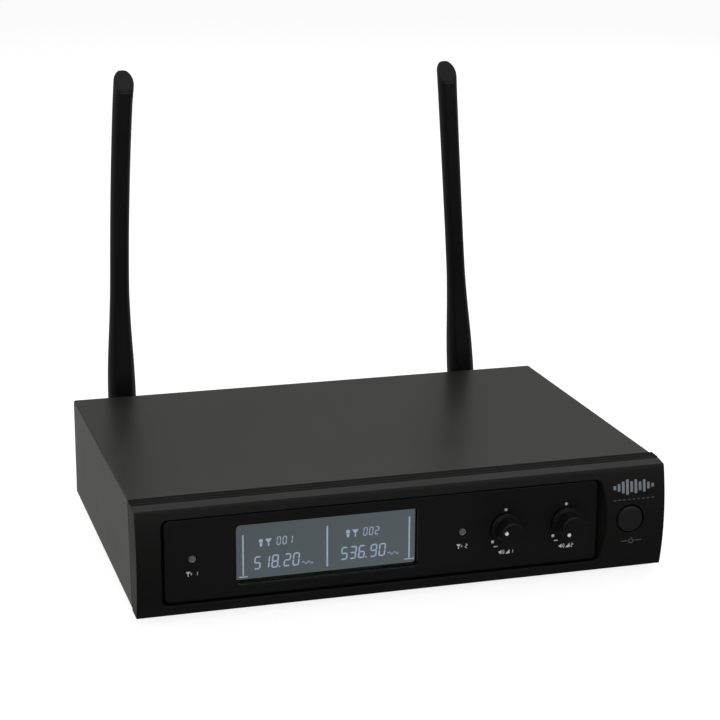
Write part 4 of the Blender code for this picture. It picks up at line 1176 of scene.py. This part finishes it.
# ================================================================== antennas
def spline(rows, h):
    """Smooth value rows (h, a, b, ...) at a height."""
    for i in range(len(rows) - 1):
        if rows[i][0] <= h <= rows[i + 1][0]:
            break
    p1, p2 = rows[i], rows[i + 1]
    p0 = rows[i - 1] if i > 0 else p1
    p3 = rows[i + 2] if i + 2 < len(rows) else p2
    s = (h - p1[0]) / (p2[0] - p1[0])
    out = []
    for k in range(1, len(p1)):
        m1 = (p2[k] - p0[k]) / max(1e-6, p2[0] - p0[0]) * (p2[0] - p1[0])
        m2 = (p3[k] - p1[k]) / max(1e-6, p3[0] - p1[0]) * (p2[0] - p1[0])
        out.append((2 * s ** 3 - 3 * s ** 2 + 1) * p1[k] + (s ** 3 - 2 * s ** 2 + s) * m1
                   + (-2 * s ** 3 + 3 * s ** 2) * p2[k] + (s ** 3 - s ** 2) * m2)
    return out


WHIP_ROWS = [(0.0, 12.4, 12.4), (8.0, 12.4, 12.2), (15.0, 12.4, 12.0), (22.0, 12.1, 11.8),
             (30.0, 11.5, 11.2), (38.0, 10.6, 10.3), (46.0, 9.7, 9.5), (54.0, 9.0, 8.9),
             (62.0, 8.5, 8.5), (80.0, 8.3, 8.3), (105.0, 8.35, 8.3), (130.0, 8.5, 8.4),
             (ANT_TOP - ANT_Z, 8.8, 8.6)]


def whip_section(sides=72):
    """Round back with a flat front."""
    cut, pts = -0.88, []
    half = math.sqrt(1 - cut * cut)
    for k in range(sides):
        a = 2.0 * math.pi * (k + 0.5) / sides
        x, y = math.cos(a), math.sin(a)
        pts.append((x, max(y, cut)))
    return pts


def make_antenna(t, sx):
    swivel = spot(sx * ANT_X, CASE_D, ANT_Z, 0.0, math.radians(ANT_LEAN[t]))
    elbow = swivel @ Matrix.Translation((0.0, REACH, 0.0))
    top, bow = ANT_TOP - ANT_Z, ANT_BOW[t]
    sec = whip_section()
    slope = math.tan(math.radians(TIP_SLANT))

    def cut_height(y):
        return min(top, top + (y - 3.9) * slope)

    def ring_at(h):
        w, d = spline(WHIP_ROWS, h)
        s = max(0.0, (h - 8.0) / (top - 8.0))
        return w / 2.0, d / 2.0, bow * 4.0 * s * (1.0 - s)

    rings, h = [], 0.0
    while h < top - 12.0:
        w, d, shift = ring_at(h)
        rings.append([(x * w + shift, y * d, h) for x, y in sec])
        h += 2.0 if h < 64 else 5.0
    # the slanted tip: the rim follows the cut and is eased over
    w, d, shift = ring_at(top - 6.0)
    w2, d2 = 8.8 / 2, 8.6 / 2
    for down, pull in ((0.75, 0.0), (0.38, 0.05), (0.13, 0.17), (0.0, 0.42)):
        ring = []
        for x, y in sec:
            r = math.hypot(x * w2, y * d2)
            k = (r - pull) / r
            px, py = x * w2 * k, y * d2 * k
            ring.append((px + shift * 0.2, py, cut_height(py) - down))
        rings.append(ring)
    skin = loft(rings)
    bmesh.ops.triangulate(skin, faces=[f for f in skin.faces if len(f.verts) > 4])
    blade = raw("antenna_whip_" + t, skin)
    knuckle = raw("t", lathe(fillet([(0.0, 6.2), (6.2, 6.2), (6.2, -6.2), (0.0, -6.2)], [0, 0.35, 0.35, 0], 4, closed=False), 72),
                  Matrix.Rotation(math.pi / 2, 4, "Y"))
    booleans(blade, [knuckle], "UNION")
    slot = raw("t", slab(lambda dd: fillet([(-14.0, -14.0), (14.0, -14.0), (14.0, 7.2), (-14.0, 7.2)], [0, 0, 0.0, 0.0]),
                         -3.0, 3.0, lambda u, v, w_: (w_, u, v)))
    bore = raw("t", lathe([(0.0, 20.0), (1.8, 20.0), (1.8, -20.0), (0.0, -20.0)], 40), Matrix.Rotation(math.pi / 2, 4, "Y"))
    booleans(blade, [slot, bore])
    bevelled(blade, 0.22, 50.0, 2)
    done(blade, "antenna_%s_whip" % t, M["antenna"], "antenna_whip_" + t, 34.0, elbow)

    # swivel collar: straight-knurled grip, thread hollow, and the elbow tongue
    def knurl(r, h, a):
        return -0.22 * (0.5 - 0.5 * math.cos(30.0 * a)) if 4.05 < h < 10.9 and r > 6.5 else 0.0

    prof = ([(0.0, 14.8), (5.05, 14.8), (5.3, 14.72), (5.42, 14.5), (5.95, 14.25), (6.0, 14.0), (6.0, 12.35),
             (6.35, 11.95), (6.7, 11.75), (6.8, 11.5), (6.8, 11.0), (6.8, 10.8)]
            + [(6.8, 10.8 - 1.12 * k) for k in range(1, 6)] + [(6.8, 4.1), (6.8, 3.95), (6.8, 3.5), (6.65, 3.12),
             (6.4, 3.0), (4.5, 3.0), (4.5, 13.6), (0.0, 13.6)])
    collar = raw("antenna_collar_" + t, lathe(prof, 240, knurl), Matrix.Rotation(REARWARD, 4, "X"))
    tongue = raw("t", slab(lambda dd: inset([(14.0, -5.2), (REACH, -5.2)] + arc(REACH, 0.0, 5.2, -84, 84, 28)
                                            + [(REACH, 5.2), (14.0, 5.2)], dd), -2.7, 2.7, yz, (0.3, 0.3), 3))
    booleans(collar, [tongue], "UNION")
    pin_hole = raw("t", lathe([(0.0, 20.0), (1.9, 20.0), (1.9, -20.0), (0.0, -20.0)], 40),
                   Matrix.Translation((0.0, REACH, 0.0)) @ Matrix.Rotation(math.pi / 2, 4, "Y"))
    booleans(collar, [pin_hole])
    done(collar, "antenna_%s_swivel" % t, M["black_metal"], "antenna_collar_" + t, 30.0, swivel)

    prof = fillet([(0.0, 6.0), (1.5, 6.0), (1.5, -6.0), (0.0, -6.0)], [0, 0.3, 0.3, 0], 4, closed=False)
    pin = raw("antenna_pin_" + t, lathe(prof, 40), Matrix.Rotation(math.pi / 2, 4, "Y"))
    done(pin, "antenna_%s_whip" % t, M["zinc"], "antenna_pin_" + t, 34.0, elbow)

    def thread(r, h, a):
        return 0.10 * math.cos(2.0 * math.pi * (h / 0.7) - a) if 3.8 < r < 4.05 and 6.6 < h < 19.3 else 0.0

    barrel = [(3.9, 19.3 - 0.13 * k) for k in range(98)]
    prof = ([(0.0, 20.0), (3.45, 20.0), (3.6, 19.9), (3.9, 19.45)] + barrel
            + [(3.95, 6.1), (5.85, 6.1), (6.0, 5.95), (6.0, 3.75), (5.85, 3.6), (3.0, 3.6), (3.0, 0.0), (0.0, 0.0)])
    con = raw("antenna_connector_" + t, lathe(prof, 48, thread))
    done(con, CASE, M["nickel"], "antenna_connector_" + t, 34.0,
         spot(sx * ANT_X, REAR_IN - GAP - 6.1, ANT_Z, REARWARD))
    hex_nut("antenna_nut_" + t, sx * ANT_X, CASE_D + 1.25, ANT_Z, 6.8, 1.9, 4.25, M["nickel"],
            "antenna_nut_" + t, 0.2 if sx < 0 else 0.55)


for t, sx in SIDES:
    make_antenna(t, sx)


# =========================================== nodes that stay as they are made
KEEP = {
    "front_board": "board", "main_board": "board", "pot_body_a": "insulator", "pot_body_b": "insulator",
    "pot_shaft_a": "alu", "pot_shaft_b": "alu", "power_switch_body": "insulator", "switch_plunger": "white",
    "board_standoff_front_left": "brass", "board_standoff_front_right": "brass",
    "board_standoff_rear_left": "brass", "board_standoff_rear_right": "brass",
    "tuner_shield_a": "tin", "tuner_shield_b": "tin", "processor_chip": "insulator",
    "filter_capacitor": "sleeve", "regulator_heatsink": "alu", "ribbon_cable": "ribbon",
    "coax_a": "cable", "coax_b": "cable",
}
for node, key in KEEP.items():
    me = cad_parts[node].data
    me.materials.clear()
    me.materials.append(M[key])


# ======================================================== floor, light, world
def camera_only(ob):
    ob.visible_diffuse = False
    ob.visible_glossy = False
    ob.visible_transmission = False
    ob.visible_volume_scatter = False
    ob.visible_shadow = False


def make_stage():
    bm = bmesh.new()
    bmesh.ops.create_circle(bm, cap_ends=True, segments=96, radius=7.0)
    me = bpy.data.meshes.new("floor")
    bm.to_mesh(me)
    bm.free()
    floor = bpy.data.objects.new("floor", me)
    floor.location = (0.0, 0.0, -0.0002)
    bpy.context.scene.collection.objects.link(floor)
    n = Nodes("floor_white")
    cloud = n.noise(6.0, 2.0, 0.5)
    n.set(Base_Color=n.mix(cloud, (0.44, 0.44, 0.44), (0.46, 0.46, 0.46)), Roughness=0.9, Specular_IOR_Level=0.1,
          Emission_Color=(1.0, 1.0, 1.0), Emission_Strength=0.86)
    me.materials.append(n.m)
    floor.visible_glossy = False
    floor.visible_transmission = False

    bm = bmesh.new()
    bmesh.ops.create_uvsphere(bm, u_segments=48, v_segments=24, radius=6.9)
    me = bpy.data.meshes.new("backdrop")
    bm.to_mesh(me)
    bm.free()
    dome = bpy.data.objects.new("backdrop", me)
    bpy.context.scene.collection.objects.link(dome)
    m = bpy.data.materials.new("backdrop_white")
    m.use_nodes = True
    nt = m.node_tree
    nt.nodes.clear()
    em = nt.nodes.new("ShaderNodeEmission")
    em.inputs["Color"].default_value = (0.97, 0.97, 0.97, 1.0)
    out = nt.nodes.new("ShaderNodeOutputMaterial")
    nt.links.new(em.outputs[0], out.inputs["Surface"])
    me.materials.append(m)
    camera_only(dome)


make_stage()


def make_world():
    w = bpy.data.worlds.new("studio")
    bpy.context.scene.world = w
    w.use_nodes = True
    nt = w.node_tree
    nt.nodes.clear()
    out = nt.nodes.new("ShaderNodeOutputWorld")
    bg = nt.nodes.new("ShaderNodeBackground")
    tc = nt.nodes.new("ShaderNodeTexCoord")
    sep = nt.nodes.new("ShaderNodeSeparateXYZ")
    nt.links.new(tc.outputs["Generated"], sep.inputs[0])

    def span(src, a, b, c, d):
        r = nt.nodes.new("ShaderNodeMapRange")
        r.interpolation_type = "SMOOTHSTEP"
        for k, v in (("From Min", a), ("From Max", b), ("To Min", c), ("To Max", d)):
            r.inputs[k].default_value = v
        nt.links.new(src, r.inputs["Value"])
        return r.outputs["Result"]

    def maths(op, a, b):
        n = nt.nodes.new("ShaderNodeMath")
        n.operation = op
        for k, v in enumerate((a, b)):
            if isinstance(v, (int, float)):
                n.inputs[k].default_value = v
            else:
                nt.links.new(v, n.inputs[k])
        return n.outputs[0]

    # below the horizon: dark in front, pale behind; above: a soft grey room
    below = span(sep.outputs["Y"], -0.5, 0.7, 0.03, 0.32)
    above = span(sep.outputs["Z"], 0.0, 0.9, 0.27, 0.14)
    fac = span(sep.outputs["Z"], -0.06, 0.06, 0.0, 1.0)
    level = maths("ADD", maths("MULTIPLY", below, maths("SUBTRACT", 1.0, fac)), maths("MULTIPLY", above, fac))
    nt.links.new(level, bg.inputs["Strength"])
    bg.inputs["Color"].default_value = (0.985, 1.0, 0.955, 1.0)
    nt.links.new(bg.outputs[0], out.inputs["Surface"])


make_world()


def softbox(name, at, look, size, power, colour=(1.0, 1.0, 1.0)):
    d = bpy.data.lights.new(name, "AREA")
    d.shape = "RECTANGLE"
    d.size, d.size_y = size
    d.energy = power
    d.color = colour
    ob = bpy.data.objects.new(name, d)
    bpy.context.scene.collection.objects.link(ob)
    ob.location = at
    ob.rotation_mode = "QUATERNION"
    ob.rotation_quaternion = (Vector(look) - Vector(at)).to_track_quat("-Z", "Y")
    ob.visible_camera = False
    return ob


softbox("soft_back", (0.0, 1.15, 1.15), (0.0, 0.0, 0.05), (1.8, 0.8), 4.0)
softbox("soft_top", (0.0, 0.1, 1.35), (0.0, 0.0, 0.0), (1.4, 1.2), 3.2)
softbox("soft_left", (-1.25, 0.1, 0.75), (0.0, 0.0, 0.05), (0.9, 0.9), 3.4)
softbox("soft_right", (1.25, 0.75, 0.70), (0.0, 0.0, 0.05), (0.5, 1.0), 5.0)
softbox("soft_front", (0.38, -1.25, 0.62), (0.0, 0.0, 0.03), (1.1, 0.22), 2.2)

bpy.context.scene.view_settings.view_transform = "Standard"
bpy.context.scene.view_settings.look = "None"
